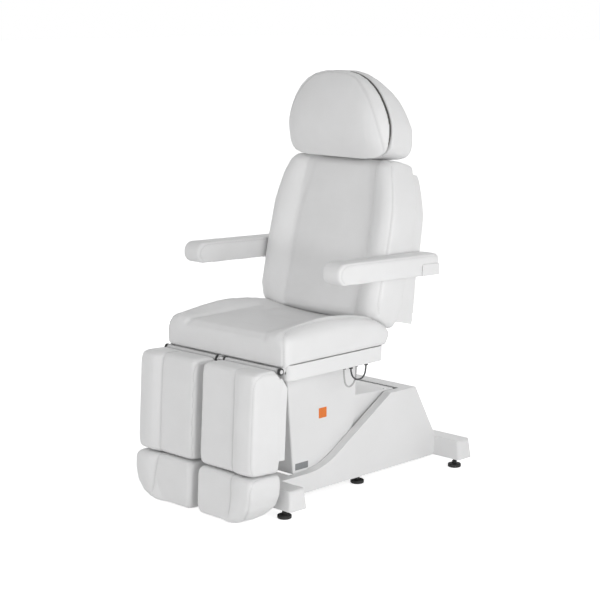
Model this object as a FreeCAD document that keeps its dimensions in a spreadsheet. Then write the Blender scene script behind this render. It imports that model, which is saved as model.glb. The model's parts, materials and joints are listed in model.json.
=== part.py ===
import FreeCAD, Part
import math
import os

import Sketcher

# Podiatry chair on a low base with a parallel lift arm, a tilting seat, a reclining back,
# a sliding and tilting headrest, folding armrests and two leg rests with sliding feet.
# Millimetres. X runs across (the chair's left is +X), the chair faces -Y, Z is up, the floor
# is Z = 0 and the origin is under the middle of the chair's length.

# Driving sizes. Places along Y and heights along Z are measured from the origin.
SIZES = {
    # Base cover: a moulding with two side rims, an open trough between them and a rear deck.
    "cover_half_width": 197,
    "trough_half_width": 163,
    "cover_wall": 4,
    "cover_foot": 40,
    "rim_low_top": 108,
    "deck_top": 322,
    "trough_front": -250,
    "slope_start": -108,
    "slope_end": 245,
    "rim_sweep": 85,
    "deck_front": 328,
    "deck_rear": 385,
    "tail_rear": 503,
    "tail_top": 112,
    # Crossbars at both ends of the base, drafted like any moulding.
    "front_bar_front": -399,
    "front_bar_rear": -316,
    "front_bar_half": 322,
    "front_bar_top": 110,
    "rear_bar_front": 492,
    "rear_bar_rear": 572,
    "rear_bar_half": 322,
    "rear_bar_top": 112,
    "bar_draft": 6,
    "bar_round": 14,
    # Welded base frame.
    "rail_foot": 44,
    "rail_top": 92,
    "frame_play": 0.5,
    "end_tube_inset": 16,
    "end_tube_depth": 46,
    "floor_bar_height": 18,
    "floor_bar_depth": 40,
    "tower_step": 18,
    "plate_thickness": 10,
    "tower_half_depth": 34,
    "pivot_head_radius": 24,
    "shelf_rear": 470,
    # Levelling feet.
    "foot_disc_radius": 25,
    "foot_disc_height": 13,
    "foot_neck_radius": 9,
    "foot_neck_top": 24,
    "foot_stud_radius": 5,
    "foot_stud_top": 84,
    "foot_front_x": 254,
    "foot_front_y": -362,
    "foot_middle_x": 150,
    "foot_middle_y": 117,
    "foot_rear_x": 270,
    "foot_rear_y": 530,
    # Parallel lift arms, level in the lowest position.
    "lift_rear_y": 296,
    "lift_upper_z": 290,
    "lift_lower_z": 200,
    "lift_length": 480,
    "lift_pin_radius": 10,
    "pin_clearance": 0.05,
    "upper_arm_inset": 28,
    "upper_arm_half_height": 25,
    "lower_link_step": 16,
    "lower_link_half_height": 15,
    "lift_tube_radius": 18,
    # Housing over the arms.
    "arm_cover_half_width": 150,
    "arm_cover_wall": 3,
    "arm_cover_rear": 313,
    "arm_cover_front": -138,
    "arm_cover_top_rear": 322,
    "arm_cover_top_front": 345,
    "arm_cover_low_rear": 182,
    "arm_cover_low_middle": 190,
    "arm_cover_low_front": 262,
    "arm_cover_bend_y": 60,
    "arm_cover_bend_front_y": -70,
    # Lift drive: a spindle motor from the base frame to a lug on the upper arm.
    "lift_motor_y": 250,
    "lift_motor_z": 84,
    "lift_lug_y": 40,
    "lift_lug_z": 232,
    "drive_pin_radius": 6,
    "lift_eye_play": 4.4,
    "drive_tube_radius": 20,
    "drive_rod_radius": 11,
    "lift_tube_start": 26,
    "lift_tube_end": 180,
    "lift_rod_start": 46,
    "drive_eye_radius": 19,
    "drive_eye_half_width": 12,
    "drive_lug_thickness": 8,
    "gearbox_size": 56,
    "gearbox_start": 22,
    "gearbox_length": 40,
    "motor_can_radius": 22,
    "motor_can_offset": 50,
    "motor_can_length": 118,
    # Seat carrier and its shroud.
    "carrier_front": -214,
    "carrier_rear": -152,
    "carrier_foot": 174,
    "carrier_step": 364,
    "carrier_top": 456,
    "carrier_beam": 40,
    "tilt_y": 36,
    "tilt_z": 446,
    "tilt_pin_radius": 8,
    "shroud_half_width": 160,
    "shroud_wall": 3,
    "shroud_foot_z": 105,
    "shroud_foot_front": -226,
    "shroud_knee_front": -252,
    "shroud_knee_z": 416,
    "shroud_top_front": -256,
    "shroud_top_z": 464,
    "shroud_rear": 94,
    "shroud_rear_low_z": 300,
    "shroud_foot_rear": -140,
    "fix_clearance": 0.3,
    # Seat tilt drive, beside the middle.
    "tilt_drive_x": -58,
    "tilt_drive_z": 384,
    "tilt_lever_half_width": 6,
    "tilt_motor_start": -166,
    "tilt_tube_end": -40,
    "tilt_rod_start": -120,
    "tilt_motor_radius": 20,
    "tilt_rod_radius": 9,
    "tilt_eye_play": 2,
    # Seat tray.
    "seat_half_width": 297,
    "tray_front": -384,
    "tray_rear": 96,
    "tray_foot": 484,
    "tray_top": 538,
    "tray_wall": 3,
    "tray_corner": 26,
    "tray_edge": 5,
    # Seat frame.
    "seat_rail_inset": 105,
    "seat_rail_width": 26,
    "seat_rail_front": -370,
    "seat_rail_rear": 84,
    "seat_rail_foot": 489,
    "seat_rail_top": 535,
    "seat_cross_height": 20,
    "seat_cross_depth": 36,
    "tilt_ear_inner": 120,
    # Seat cushion.
    "cushion_gap": 0.5,
    "seat_cushion_front": -403,
    "seat_cushion_rear": 126,
    "seat_bulge": 6,
    "seat_panel_half": 186,
    "seat_bolster_x": 248,
    "seat_panel_z": 624,
    "seat_crest_z": 664,
    "seat_front_crest_z": 634,
    # Back hinge and recline drive.
    "back_pivot_y": 156,
    "back_pivot_z": 560,
    "back_angle": 13.3,
    "back_pin_radius": 8,
    "back_ear_inset": 73,
    "back_ear_radius": 16,
    "back_tube_radius": 15,
    "recline_drive_z": 490,
    "recline_swing": 37.5,
    "recline_slot_play": 3.4,
    "recline_lever_inner": 13,
    "recline_lever_width": 34,
    "recline_tube_start": -130,
    "recline_tube_end": 40,
    "recline_rod_start": 4,
    # Backrest.
    "back_front": -136,
    "back_rear": 4,
    "back_low_front": 60,
    "back_low_rear": 30,
    "back_top_front": 604,
    "back_top_rear": 616,
    "back_half_low": 288,
    "back_half_hip": 300,
    "back_half_waist": 303,
    "back_half_chest": 301,
    "back_half_top": 250,
    "back_hip_z": 116,
    "back_waist_z": 290,
    "back_chest_z": 425,
    "back_panel_sink": 30,
    "back_edge_round": 20,
    # Back frame.
    "back_rail_x": 150,
    "back_rail_width": 30,
    "back_rail_front": 8,
    "back_rail_depth": 22,
    "back_rail_top": 540,
    "back_shell_front": 5,
    "back_shell_wall": 4,
    "back_shell_inset": 14,
    "back_shell_low": 50,
    "back_shell_top": 580,
    "back_shell_deep": 92,
    "back_shell_middle": 60,
    "back_shell_high": 46,
    # Headrest posts and hinge.
    "post_x": 70,
    "post_radius": 7,
    "post_depth": -40,
    "post_foot": 350,
    "guide_foot": 500,
    "guide_top": 596,
    "guide_radius": 11,
    "head_pivot_y": 256,
    "head_pivot_z": 1202,
    "head_tube_radius": 12,
    # Headrest.
    "head_split_y": 178,
    "head_board_thickness": 8,
    "head_board_inset": 5,
    "head_front_side": 56,
    "head_front_crown": 14,
    "head_rear_depth": 100,
    "head_foot_z": 1183,
    "head_widest_z": 1284,
    "head_top_z": 1489,
    "head_half_width": 244,
    "head_edge_round": 16,
    # Armrests.
    "arm_pivot_y": 236,
    "arm_pivot_z": 802,
    "arm_rest_angle": 2,
    "arm_inner_x": 307,
    "arm_outer_x": 390,
    "arm_front": -476,
    "arm_rear": 42,
    "arm_foot": -20,
    "arm_top": 57,
    "arm_core_height": 6,
    "arm_board_inset": 9,
    "arm_board_front": 42,
    "arm_end_length": 90,
    "arm_end_height": 40,
    "arm_pin_radius": 10,
    "arm_pin_inner": 236,
    "arm_round": 18,
    "arm_crown": 1,
    # Leg rests, in the hanging position.
    "leg_pivot_y": -410,
    "leg_pivot_z": 522,
    "leg_hang_angle": 3.3,
    "leg_rod_radius": 7,
    "leg_tube_radius": 9.5,
    "leg_inner_x": 13,
    "leg_side_inset": 5,
    "leg_front": -111,
    "leg_rear": 8,
    "leg_top": 4,
    "leg_low": -347,
    "leg_round": 26,
    "leg_wing_rise": 15,
    "leg_wing_run": 30,
    "leg_shell_rear": 45,
    "leg_shell_low": -308,
    "leg_shell_top": -26,
    "leg_shell_shoulder": -64,
    "leg_shell_inset": 14,
    "leg_shell_wall": 3,
    "leg_rail_width": 18,
    # Sliding foot sections.
    "foot_bar_radius": 8,
    "foot_bar_y": 27,
    "foot_bar_inner_x": 96,
    "foot_bar_outer_x": 196,
    "foot_bar_top": -70,
    "sleeve_radius": 12,
    "sleeve_top": -200,
    "sleeve_low": -296,
    "foot_front": -117,
    "foot_rear": 19,
    "foot_top": -353,
    "foot_low": -518,
    "foot_plate_thickness": 5,
    "foot_plate_reach": 42,
    # Cable loops under the tray.
    "cable_radius": 3,
    "grommet_radius": 7,
    "grommet_height": 6,
    "motor_cable_inset": 12,
    "motor_cable_start": -67,
    "handset_cable_inset": 22,
    "handset_cable_start": -91,
    "cable_loop_size": 78,
    # Mains inlet and control box.
    "inlet_half_width": 24,
    "inlet_foot": 196,
    "inlet_top": 226,
    "inlet_front": 418,
    "inlet_rear": 452,
    "control_half_width": 130,
    "control_front": 346,
    "control_rear": 404,
    "control_top": 240,
}

doc = FreeCAD.newDocument("podiatry_chair")
sheet = doc.addObject("Spreadsheet::Sheet", "Sizes")
for row, (alias, amount) in enumerate(SIZES.items(), start=1):
    sheet.set("A%d" % row, alias)
    sheet.set("B%d" % row, str(amount))
    sheet.setAlias("B%d" % row, alias)
doc.recompute()


class Size:
    """A length or angle: its value, and the words that bind a feature to the sheet."""

    def __init__(self, text, value):
        self.text = text
        self.value = float(value)

    def joined(self, sign, other, value):
        return Size("(%s %s %s)" % (self.text, sign, as_size(other).text), value)

    def __add__(self, other):
        return self.joined("+", other, self.value + as_size(other).value)

    def __sub__(self, other):
        return self.joined("-", other, self.value - as_size(other).value)

    def __mul__(self, other):
        return self.joined("*", other, self.value * as_size(other).value)

    def __truediv__(self, other):
        return self.joined("/", other, self.value / as_size(other).value)

    def __neg__(self):
        return Size("(-1 * %s)" % self.text, -self.value)

    __radd__ = __add__
    __rmul__ = __mul__


def as_size(amount):
    return amount if isinstance(amount, Size) else Size(repr(float(amount)), amount)


class Named:
    """Every driving size by its own name."""


at = Named()
mm = Named()
for alias, amount in SIZES.items():
    setattr(at, alias, Size("Sizes.%s" % alias, amount))
    setattr(mm, alias, float(amount))
ZERO = as_size(0)


def blend(low, high, share):
    """The place at a share of the way from one size to another."""
    return low + (high - low) * share


def sine(angle):
    return Size("sin(%s)" % angle.text, math.sin(math.radians(angle.value)))


def cosine(angle):
    return Size("cos(%s)" % angle.text, math.cos(math.radians(angle.value)))


def tangent(angle):
    return sine(angle) / cosine(angle)


def degrees_of(rise, run):
    angle = math.degrees(math.atan2(rise.value, run.value))
    return Size("atan2(%s; %s)" % (rise.text, run.text), angle)


# Planes of a body's own origin, with the sign that the plane's normal has along its axis.
PLANES = {"X": ("YZ_Plane", 1), "Y": ("XZ_Plane", -1), "Z": ("XY_Plane", 1)}
pieces = []


class Piece:
    """One separate part of the chair: a body of sketched pads, pockets and rounded edges."""

    def __init__(self, label):
        self.label = label
        self.body = doc.addObject("PartDesign::Body", "Body_" + label)
        self.body.Label = label
        if hasattr(self.body, "AllowCompound"):
            self.body.AllowCompound = True
        self.count = 0
        pieces.append(self.body)

    def named(self, kind):
        self.count += 1
        return "%s_%s_%d" % (self.label, kind, self.count)

    def sketch(self, axis, start):
        """An empty sketch across the axis, at a place along it."""
        role, sign = PLANES[axis]
        sketch = self.body.newObject("Sketcher::SketchObject", self.named("sketch"))
        plane = [item for item in self.body.Origin.OriginFeatures if item.Role == role][0]
        sketch.AttachmentSupport = [(plane, "")]
        sketch.MapMode = "FlatFace"
        offset = start if sign > 0 else -start
        sketch.AttachmentOffset = FreeCAD.Placement(
            FreeCAD.Vector(0, 0, offset.value), FreeCAD.Rotation())
        sketch.setExpression(".AttachmentOffset.Base.z", offset.text)
        return sketch

    def pin_point(self, sketch, item, end, point):
        """Hold one end of a sketch item at a place given by two sizes."""
        for kind, place in zip(("DistanceX", "DistanceY"), point):
            index = sketch.addConstraint(
                Sketcher.Constraint(kind, -1, 1, item, end, place.value))
            sketch.setExpression("Constraints[%d]" % index, place.text)

    def outline(self, axis, start, points):
        """A closed outline through points. A point with a third word, arc, is the middle of
        an arc between its neighbours."""
        sketch = self.sketch(axis, start)
        points = [tuple(as_size(part) if not isinstance(part, str) else part
                        for part in point) for point in points]
        corners = [index for index, point in enumerate(points) if len(point) == 2]
        items = []
        for this, after in zip(corners, corners[1:] + corners[:1]):
            first = FreeCAD.Vector(points[this][0].value, points[this][1].value, 0)
            last = FreeCAD.Vector(points[after][0].value, points[after][1].value, 0)
            middle = points[(this + 1) % len(points)]
            if len(middle) == 3:
                through = FreeCAD.Vector(middle[0].value, middle[1].value, 0)
                arc = Part.Arc(first, through, last)
                item = sketch.addGeometry(arc, False)
                # An arc is stored counter-clockwise, so its ends can be swapped.
                stored = sketch.Geometry[item].StartPoint
                turned = stored.distanceToPoint(first) > stored.distanceToPoint(last)
                items.append((item, (2, 1) if turned else (1, 2), middle))
            else:
                item = sketch.addGeometry(Part.LineSegment(first, last), False)
                items.append((item, (1, 2), None))
        for number, (item, ends, middle) in enumerate(items):
            following, next_ends, unused = items[(number + 1) % len(items)]
            sketch.addConstraint(
                Sketcher.Constraint("Coincident", item, ends[1], following, next_ends[0]))
            self.pin_point(sketch, item, ends[0], points[corners[number]])
            if middle:
                dot = sketch.addGeometry(
                    Part.Point(FreeCAD.Vector(middle[0].value, middle[1].value, 0)), True)
                self.pin_point(sketch, dot, 1, middle[:2])
                sketch.addConstraint(Sketcher.Constraint("PointOnObject", dot, 1, item))
        return sketch

    def disc(self, axis, start, centre, radius):
        sketch = self.sketch(axis, start)
        centre = [as_size(part) for part in centre]
        place = FreeCAD.Vector(centre[0].value, centre[1].value, 0)
        item = sketch.addGeometry(
            Part.Circle(place, FreeCAD.Vector(0, 0, 1), radius.value), False)
        self.pin_point(sketch, item, 3, centre)
        index = sketch.addConstraint(Sketcher.Constraint("Radius", item, radius.value))
        sketch.setExpression("Constraints[%d]" % index, radius.text)
        return sketch

    def raised(self, sketch, axis, depth, cut, taper=None):
        kind = "PartDesign::Pocket" if cut else "PartDesign::Pad"
        feature = self.body.newObject(kind, self.named("cut" if cut else "pad"))
        feature.Profile = sketch
        feature.setExpression("Length", depth.text)
        backwards = PLANES[axis][1] < 0
        feature.Reversed = not backwards if cut else backwards
        if taper is not None:
            feature.setExpression("TaperAngle", taper.text)
        doc.recompute()
        return feature

    def prism(self, axis, start, stop, points, cut=False, taper=None):
        """An outline carried from one place along the axis to another."""
        start, stop = as_size(start), as_size(stop)
        sketch = self.outline(axis, start, points)
        return self.raised(sketch, axis, stop - start, cut, taper)

    def rod(self, axis, start, stop, centre, radius, cut=False):
        start, stop = as_size(start), as_size(stop)
        sketch = self.disc(axis, start, centre, as_size(radius))
        return self.raised(sketch, axis, stop - start, cut)

    def block(self, low, high, cut=False, taper=None):
        """A block between two corners, each given by three places."""
        corners = [(low[0], low[1]), (high[0], low[1]), (high[0], high[1]), (low[0], high[1])]
        return self.prism("Z", low[2], high[2], corners, cut, taper)

    def round_edges(self, radius, wanted, kind="PartDesign::Fillet"):
        """Round or chamfer the edges whose middle passes the test."""
        doc.recompute()
        before = self.body.Tip
        names = []
        for number, edge in enumerate(before.Shape.Edges, start=1):
            middle = edge.valueAt((edge.FirstParameter + edge.LastParameter) / 2)
            if wanted(edge, middle):
                names.append("Edge%d" % number)
        feature = self.body.newObject(kind, self.named("round"))
        feature.Base = (before, names)
        feature.setExpression("Size" if kind.endswith("Chamfer") else "Radius", radius.text)
        doc.recompute()
        return feature

    def hollowed(self, wall, wanted):
        """Leave a wall inside every face but those that pass the test, which are opened."""
        doc.recompute()
        before = self.body.Tip
        names = ["Face%d" % number for number, face in enumerate(before.Shape.Faces, start=1)
                 if wanted(face, face.CenterOfMass)]
        feature = self.body.newObject("PartDesign::Thickness", self.named("shell"))
        feature.Base = (before, names)
        feature.setExpression("Value", wall.text)
        feature.Reversed = True
        feature.Join = 1
        doc.recompute()
        return feature

    def placed(self, place, turn=None):
        """Set the body down at a place, turned about X by minus an angle."""
        angle = turn.value if turn is not None else 0
        self.body.Placement = FreeCAD.Placement(
            FreeCAD.Vector(*[as_size(part).value for part in place]),
            FreeCAD.Rotation(FreeCAD.Vector(1, 0, 0), -angle))
        for letter, part in zip("xyz", place):
            self.body.setExpression(".Placement.Base." + letter, as_size(part).text)
        if turn is not None:
            self.body.setExpression(".Placement.Rotation.Angle", (-turn).text)


def along(edge, axis):
    """True for a straight edge along an axis."""
    if not isinstance(edge.Curve, Part.Line):
        return False
    direction = edge.Curve.Direction
    return abs({"X": direction.x, "Y": direction.y, "Z": direction.z}[axis]) > STRAIGHT_SHARE


STRAIGHT_SHARE = 0.999
NEAR = 0.01
SIDES = (("right", -1), ("left", 1))


def near(value, size):
    return abs(value - as_size(size).value) < NEAR


def soft_form(label, shape, place=None, turn=None):
    """A cushion whose lofted skin is computed here from the sheet."""
    feature = doc.addObject("Part::Feature", "Form_" + label)
    feature.Label = label
    feature.Shape = shape
    if place is not None:
        feature.Placement = FreeCAD.Placement(
            FreeCAD.Vector(*[as_size(part).value for part in place]),
            FreeCAD.Rotation(FreeCAD.Vector(1, 0, 0), -turn.value if turn is not None else 0))
    pieces.append(feature)
    return feature


# Base frame: two rails, end tubes inside the crossbars, floor bars and two pivot towers.
rail_inner = at.trough_half_width + at.cover_wall + at.frame_play
rail_outer = at.cover_half_width - at.cover_wall - at.frame_play
end_tube_half_front = at.front_bar_half - at.end_tube_inset
end_tube_half_rear = at.rear_bar_half - at.end_tube_inset
front_tube_front = at.front_bar_front + at.end_tube_inset
rear_tube_rear = at.rear_bar_rear - at.end_tube_inset
rear_tube_front = rear_tube_rear - at.end_tube_depth
floor_top = at.rail_foot + at.floor_bar_height
upper_arm_inner = at.arm_cover_half_width - at.upper_arm_inset
tower_inner = upper_arm_inner - at.tower_step
lower_link_inner = tower_inner - at.lower_link_step
tower_outer = tower_inner + at.plate_thickness
lift_front_y = at.lift_rear_y - at.lift_length


def base_frame():
    piece = Piece("base_frame")
    for name, side in SIDES:
        inner = rail_inner * side
        outer = rail_outer * side
        piece.block((inner, front_tube_front, at.rail_foot),
                    (outer, rear_tube_rear, at.rail_top))
    piece.block((-end_tube_half_front, front_tube_front, at.rail_foot),
                (end_tube_half_front, front_tube_front + at.end_tube_depth, at.rail_top))
    piece.block((-end_tube_half_rear, rear_tube_front, at.rail_foot),
                (end_tube_half_rear, rear_tube_rear, at.rail_top))
    floor_bars = (at.foot_middle_y, at.lift_motor_y, at.lift_rear_y)
    for middle in floor_bars:
        piece.block((-rail_outer, middle - at.floor_bar_depth / 2, at.rail_foot),
                    (rail_outer, middle + at.floor_bar_depth / 2, floor_top))
    piece.block((-at.control_half_width, at.lift_rear_y, at.rail_foot),
                (at.control_half_width, at.shelf_rear, at.rail_foot + at.cover_wall))
    for name, side in SIDES:
        start = tower_inner if side > 0 else -tower_outer
        low_front = at.lift_rear_y - at.tower_half_depth
        low_rear = at.lift_rear_y + at.tower_half_depth
        head = at.pivot_head_radius
        piece.prism("X", start, start + at.plate_thickness, [
            (low_front, at.rail_foot), (low_rear, at.rail_foot),
            (at.lift_rear_y + head, at.lift_lower_z), (at.lift_rear_y + head, at.lift_upper_z),
            (at.lift_rear_y, at.lift_upper_z + head, "arc"),
            (at.lift_rear_y - head, at.lift_upper_z), (at.lift_rear_y - head, at.lift_lower_z)])
    lug_start = at.drive_eye_half_width + at.fix_clearance
    for name, side in SIDES:
        start = lug_start if side > 0 else -lug_start - at.drive_lug_thickness
        piece.prism("X", start, start + at.drive_lug_thickness, [
            (at.lift_motor_y - at.floor_bar_depth / 2, at.rail_foot),
            (at.lift_motor_y + at.floor_bar_depth / 2, at.rail_foot),
            (at.lift_motor_y + at.drive_tube_radius / 2, at.lift_motor_z),
            (at.lift_motor_y, at.lift_motor_z + at.drive_tube_radius / 2, "arc"),
            (at.lift_motor_y - at.drive_tube_radius / 2, at.lift_motor_z)])
    for height in (at.lift_upper_z, at.lift_lower_z):
        piece.rod("X", -tower_outer - at.plate_thickness, tower_outer + at.plate_thickness,
                  (at.lift_rear_y, height), at.lift_pin_radius + at.pin_clearance, cut=True)
    piece.rod("X", -tower_inner, tower_inner, (at.lift_motor_y, at.lift_motor_z),
              at.drive_pin_radius + at.pin_clearance, cut=True)
    for x, y in FOOT_PLACES:
        piece.rod("Z", at.rail_foot - at.cover_wall, at.rail_top + at.cover_wall, (x, y),
                  at.foot_stud_radius + at.pin_clearance, cut=True)


FOOT_PLACES = [
    (at.foot_front_x, at.foot_front_y), (-at.foot_front_x, at.foot_front_y),
    (at.foot_middle_x, at.foot_middle_y), (-at.foot_middle_x, at.foot_middle_y),
    (at.foot_rear_x, at.foot_rear_y), (-at.foot_rear_x, at.foot_rear_y)]
FOOT_NAMES = ["front_left", "front_right", "middle_left", "middle_right",
              "rear_left", "rear_right"]


def levelling_foot(name, place):
    """A rubber disc with a waisted neck on a threaded stud."""
    piece = Piece("levelling_foot_" + name)
    piece.rod("Z", ZERO, at.foot_disc_height, place, at.foot_disc_radius)
    piece.round_edges(at.foot_disc_height / 4,
                      lambda edge, middle: isinstance(edge.Curve, Part.Circle))
    piece.rod("Z", at.foot_disc_height, at.foot_neck_top, place, at.foot_neck_radius)
    top = at.foot_stud_top
    if "middle" in name:
        top = floor_top + at.floor_bar_height / 2
    piece.rod("Z", at.foot_neck_top, top, place, at.foot_stud_radius)


SWEEP_SHARE = 0.2


def rim_run(drop):
    """The rim's run from its low front, through a wide sweep, up the slope to the deck."""
    low, high = at.rim_low_top - drop, at.deck_top - drop
    return [(at.slope_start - at.rim_sweep, low),
            (at.slope_start - at.rim_sweep * 0.037, low + at.rim_sweep * 0.132, "arc"),
            (blend(at.slope_start, at.slope_end, SWEEP_SHARE), blend(low, high, SWEEP_SHARE)),
            (at.slope_end, high)]


def base_cover():
    """The moulded cover: drafted crossbars, two rims with a trough between, and a deck."""
    piece = Piece("base_cover")
    wall = at.cover_wall
    front = at.front_bar_rear - at.end_tube_inset
    rear = at.rear_bar_front + at.end_tube_inset
    side = [(front, at.cover_foot), (front, at.rim_low_top)] + rim_run(ZERO) + [
        (at.deck_rear, at.deck_top), (at.tail_rear, at.tail_top), (rear, at.tail_top),
        (rear, at.cover_foot)]
    piece.prism("X", -at.cover_half_width, at.cover_half_width, side)
    ends = ((at.front_bar_front, at.front_bar_rear, at.front_bar_half, at.front_bar_top),
            (at.rear_bar_front, at.rear_bar_rear, at.rear_bar_half, at.rear_bar_top))
    for low, high, half, top in ends:
        piece.block((-half, low, at.cover_foot), (half, high, top), taper=-at.bar_draft)
    piece.round_edges(at.bar_round, lambda edge, middle: (
        abs(middle.x) > at.cover_half_width.value + at.bar_round.value
        and middle.z > at.cover_foot.value + NEAR
        and abs(edge.tangentAt(edge.FirstParameter).z) > abs(
            edge.tangentAt(edge.FirstParameter).x)
        and edge.Length > at.cover_foot.value))
    # Hollow from below, a wall inside every face.
    skin = [(front - wall * 2, at.cover_foot), (front - wall * 2, at.rim_low_top - wall)]
    skin += rim_run(wall) + [
        (at.deck_rear - wall / 2, at.deck_top - wall),
        (at.tail_rear - wall, at.tail_top - wall), (rear + wall * 2, at.tail_top - wall),
        (rear + wall * 2, at.cover_foot)]
    piece.prism("X", -(at.cover_half_width - wall), at.cover_half_width - wall, skin, cut=True)
    for low, high, half, top in ends:
        piece.block((-(half - wall * 2), low + wall * 2, at.cover_foot),
                    (half - wall * 2, high - wall * 2, top - wall), cut=True,
                    taper=-at.bar_draft)
    piece.block((-at.trough_half_width, at.trough_front, at.rim_low_top - wall * 2),
                (at.trough_half_width, at.deck_front, at.deck_top + wall), cut=True)
    wall_foot = floor_top + at.frame_play
    for name, hand in SIDES:
        start = at.trough_half_width if hand > 0 else -(at.trough_half_width + wall)
        piece.prism("X", start, start + wall, [
            (at.trough_front - wall, wall_foot),
            (at.trough_front - wall, at.rim_low_top - wall / 2)] + rim_run(wall / 2) + [
            (at.deck_front + wall, at.deck_top - wall / 2), (at.deck_front + wall, wall_foot)])
    piece.block((-at.trough_half_width - wall / 2, at.trough_front - wall, wall_foot),
                (at.trough_half_width + wall / 2, at.trough_front, at.rim_low_top - wall / 2))
    piece.prism("Y", at.inlet_front - at.inlet_front / 4, at.inlet_rear + wall, [
        (-at.inlet_half_width - at.fix_clearance, at.inlet_foot - at.fix_clearance),
        (at.inlet_half_width + at.fix_clearance, at.inlet_foot - at.fix_clearance),
        (at.inlet_half_width + at.fix_clearance, at.inlet_top + at.fix_clearance),
        (-at.inlet_half_width - at.fix_clearance, at.inlet_top + at.fix_clearance)], cut=True)


def mains_inlet():
    """A socket block in the tail of the cover, with three blades in its recess."""
    piece = Piece("mains_inlet")
    half = at.inlet_half_width
    middle = blend(at.inlet_foot, at.inlet_top, 0.5)
    rim = at.cover_wall
    piece.block((-half, at.inlet_front, at.inlet_foot), (half, at.inlet_rear, at.inlet_top))
    piece.prism("Y", blend(at.inlet_front, at.inlet_rear, 0.4), at.inlet_rear + rim, [
        (-half + rim, at.inlet_foot + rim), (half - rim, at.inlet_foot + rim),
        (half - rim, at.inlet_top - rim * 2), (half - rim * 2, at.inlet_top - rim),
        (-half + rim * 2, at.inlet_top - rim), (-half + rim, at.inlet_top - rim * 2)],
        cut=True)
    for share in (-0.45, 0, 0.45):
        place = half * share
        piece.prism("Y", blend(at.inlet_front, at.inlet_rear, 0.3),
                    blend(at.inlet_front, at.inlet_rear, 0.9), [
            (place - rim / 4, middle - rim), (place + rim / 4, middle - rim),
            (place + rim / 4, middle + rim), (place - rim / 4, middle + rim)])


def control_box():
    piece = Piece("control_box")
    foot = at.rail_foot + at.cover_wall
    piece.block((-at.control_half_width, at.control_front, foot),
                (at.control_half_width, at.control_rear, at.control_top))
    piece.round_edges(at.cover_wall, lambda edge, middle: along(edge, "Z"))


def rear_pivot_pins():
    """Two shafts through the towers, and the pin that holds the lift motor."""
    piece = Piece("rear_pivot_pins")
    reach = upper_arm_inner + at.plate_thickness
    for height in (at.lift_upper_z, at.lift_lower_z):
        piece.rod("X", -reach, reach, (at.lift_rear_y, height), at.lift_pin_radius)
    lug = at.drive_eye_half_width + at.drive_lug_thickness + at.drive_pin_radius
    piece.rod("X", -lug, lug, (at.lift_motor_y, at.lift_motor_z), at.drive_pin_radius)


def bar_outline(front, rear, height, radius):
    """A flat bar with round ends, seen along its pins."""
    return [(front, height - radius), (rear, height - radius),
            (rear + radius, height, "arc"), (rear, height + radius),
            (front, height + radius), (front - radius, height, "arc")]


def upper_lift_arm():
    piece = Piece("upper_lift_arm")
    height = at.lift_upper_z
    for name, side in SIDES:
        start = upper_arm_inner if side > 0 else -upper_arm_inner - at.plate_thickness
        piece.prism("X", start, start + at.plate_thickness, bar_outline(
            lift_front_y, at.lift_rear_y, height, at.upper_arm_half_height))
        near_side = (upper_arm_inner + at.plate_thickness) * side
        far_side = (at.arm_cover_half_width - at.arm_cover_wall - at.fix_clearance) * side
        for share in TAB_SHARES:
            middle = blend(at.lift_rear_y, lift_front_y, share)
            piece.block((near_side, middle - at.plate_thickness, height),
                        (far_side, middle + at.plate_thickness,
                         height + at.lift_pin_radius))
    tube_places = [at.lift_lug_y, blend(at.lift_rear_y, lift_front_y, TUBE_SHARE)]
    for place in tube_places:
        piece.rod("X", -upper_arm_inner, upper_arm_inner, (place, height),
                  at.lift_tube_radius)
    inside = at.drive_eye_half_width + at.fix_clearance
    for name, side in SIDES:
        start = inside if side > 0 else -inside - at.drive_lug_thickness
        wide = at.lift_tube_radius
        piece.prism("X", start, start + at.drive_lug_thickness, [
            (at.lift_lug_y - wide, height), (at.lift_lug_y - wide * 0.8, at.lift_lug_z),
            (at.lift_lug_y, at.lift_lug_z - wide * 0.8, "arc"),
            (at.lift_lug_y + wide * 0.8, at.lift_lug_z), (at.lift_lug_y + wide, height)])
    for place in (at.lift_rear_y, lift_front_y):
        piece.rod("X", -at.arm_cover_half_width, at.arm_cover_half_width, (place, height),
                  at.lift_pin_radius + at.pin_clearance, cut=True)
    piece.rod("X", -upper_arm_inner, upper_arm_inner, (at.lift_lug_y, at.lift_lug_z),
              at.drive_pin_radius + at.pin_clearance, cut=True)


TAB_SHARES = (0.16, 0.74)
TUBE_SHARE = 0.8


def arm_lug_pin():
    piece = Piece("arm_lug_pin")
    reach = at.drive_eye_half_width + at.drive_lug_thickness + at.drive_pin_radius
    piece.rod("X", -reach, reach, (at.lift_lug_y, at.lift_lug_z), at.drive_pin_radius)


def lift_arm_cover():
    """The white housing over the arms, open below and at its ends."""
    piece = Piece("lift_arm_cover")
    wall = at.arm_cover_wall
    sides = [(at.arm_cover_rear, at.arm_cover_top_rear),
             (at.arm_cover_front, at.arm_cover_top_front),
             (at.arm_cover_front, at.arm_cover_low_front),
             (at.arm_cover_bend_front_y, at.arm_cover_low_front),
             (at.arm_cover_bend_y, at.arm_cover_low_middle),
             (at.arm_cover_rear, at.arm_cover_low_rear)]
    piece.prism("X", -at.arm_cover_half_width, at.arm_cover_half_width, sides)
    piece.round_edges(wall * 2, lambda edge, middle: (
        near(abs(middle.x), at.arm_cover_half_width)
        and middle.z > at.arm_cover_top_rear.value
        and edge.Length > at.lift_length.value / 2))
    inside = at.arm_cover_half_width - wall
    piece.prism("X", -inside, inside, [
        (at.arm_cover_rear + wall, at.arm_cover_top_rear - wall),
        (at.arm_cover_front - wall, at.arm_cover_top_front - wall),
        (at.arm_cover_front - wall, at.arm_cover_low_rear - wall),
        (at.arm_cover_rear + wall, at.arm_cover_low_rear - wall)], cut=True)


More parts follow.
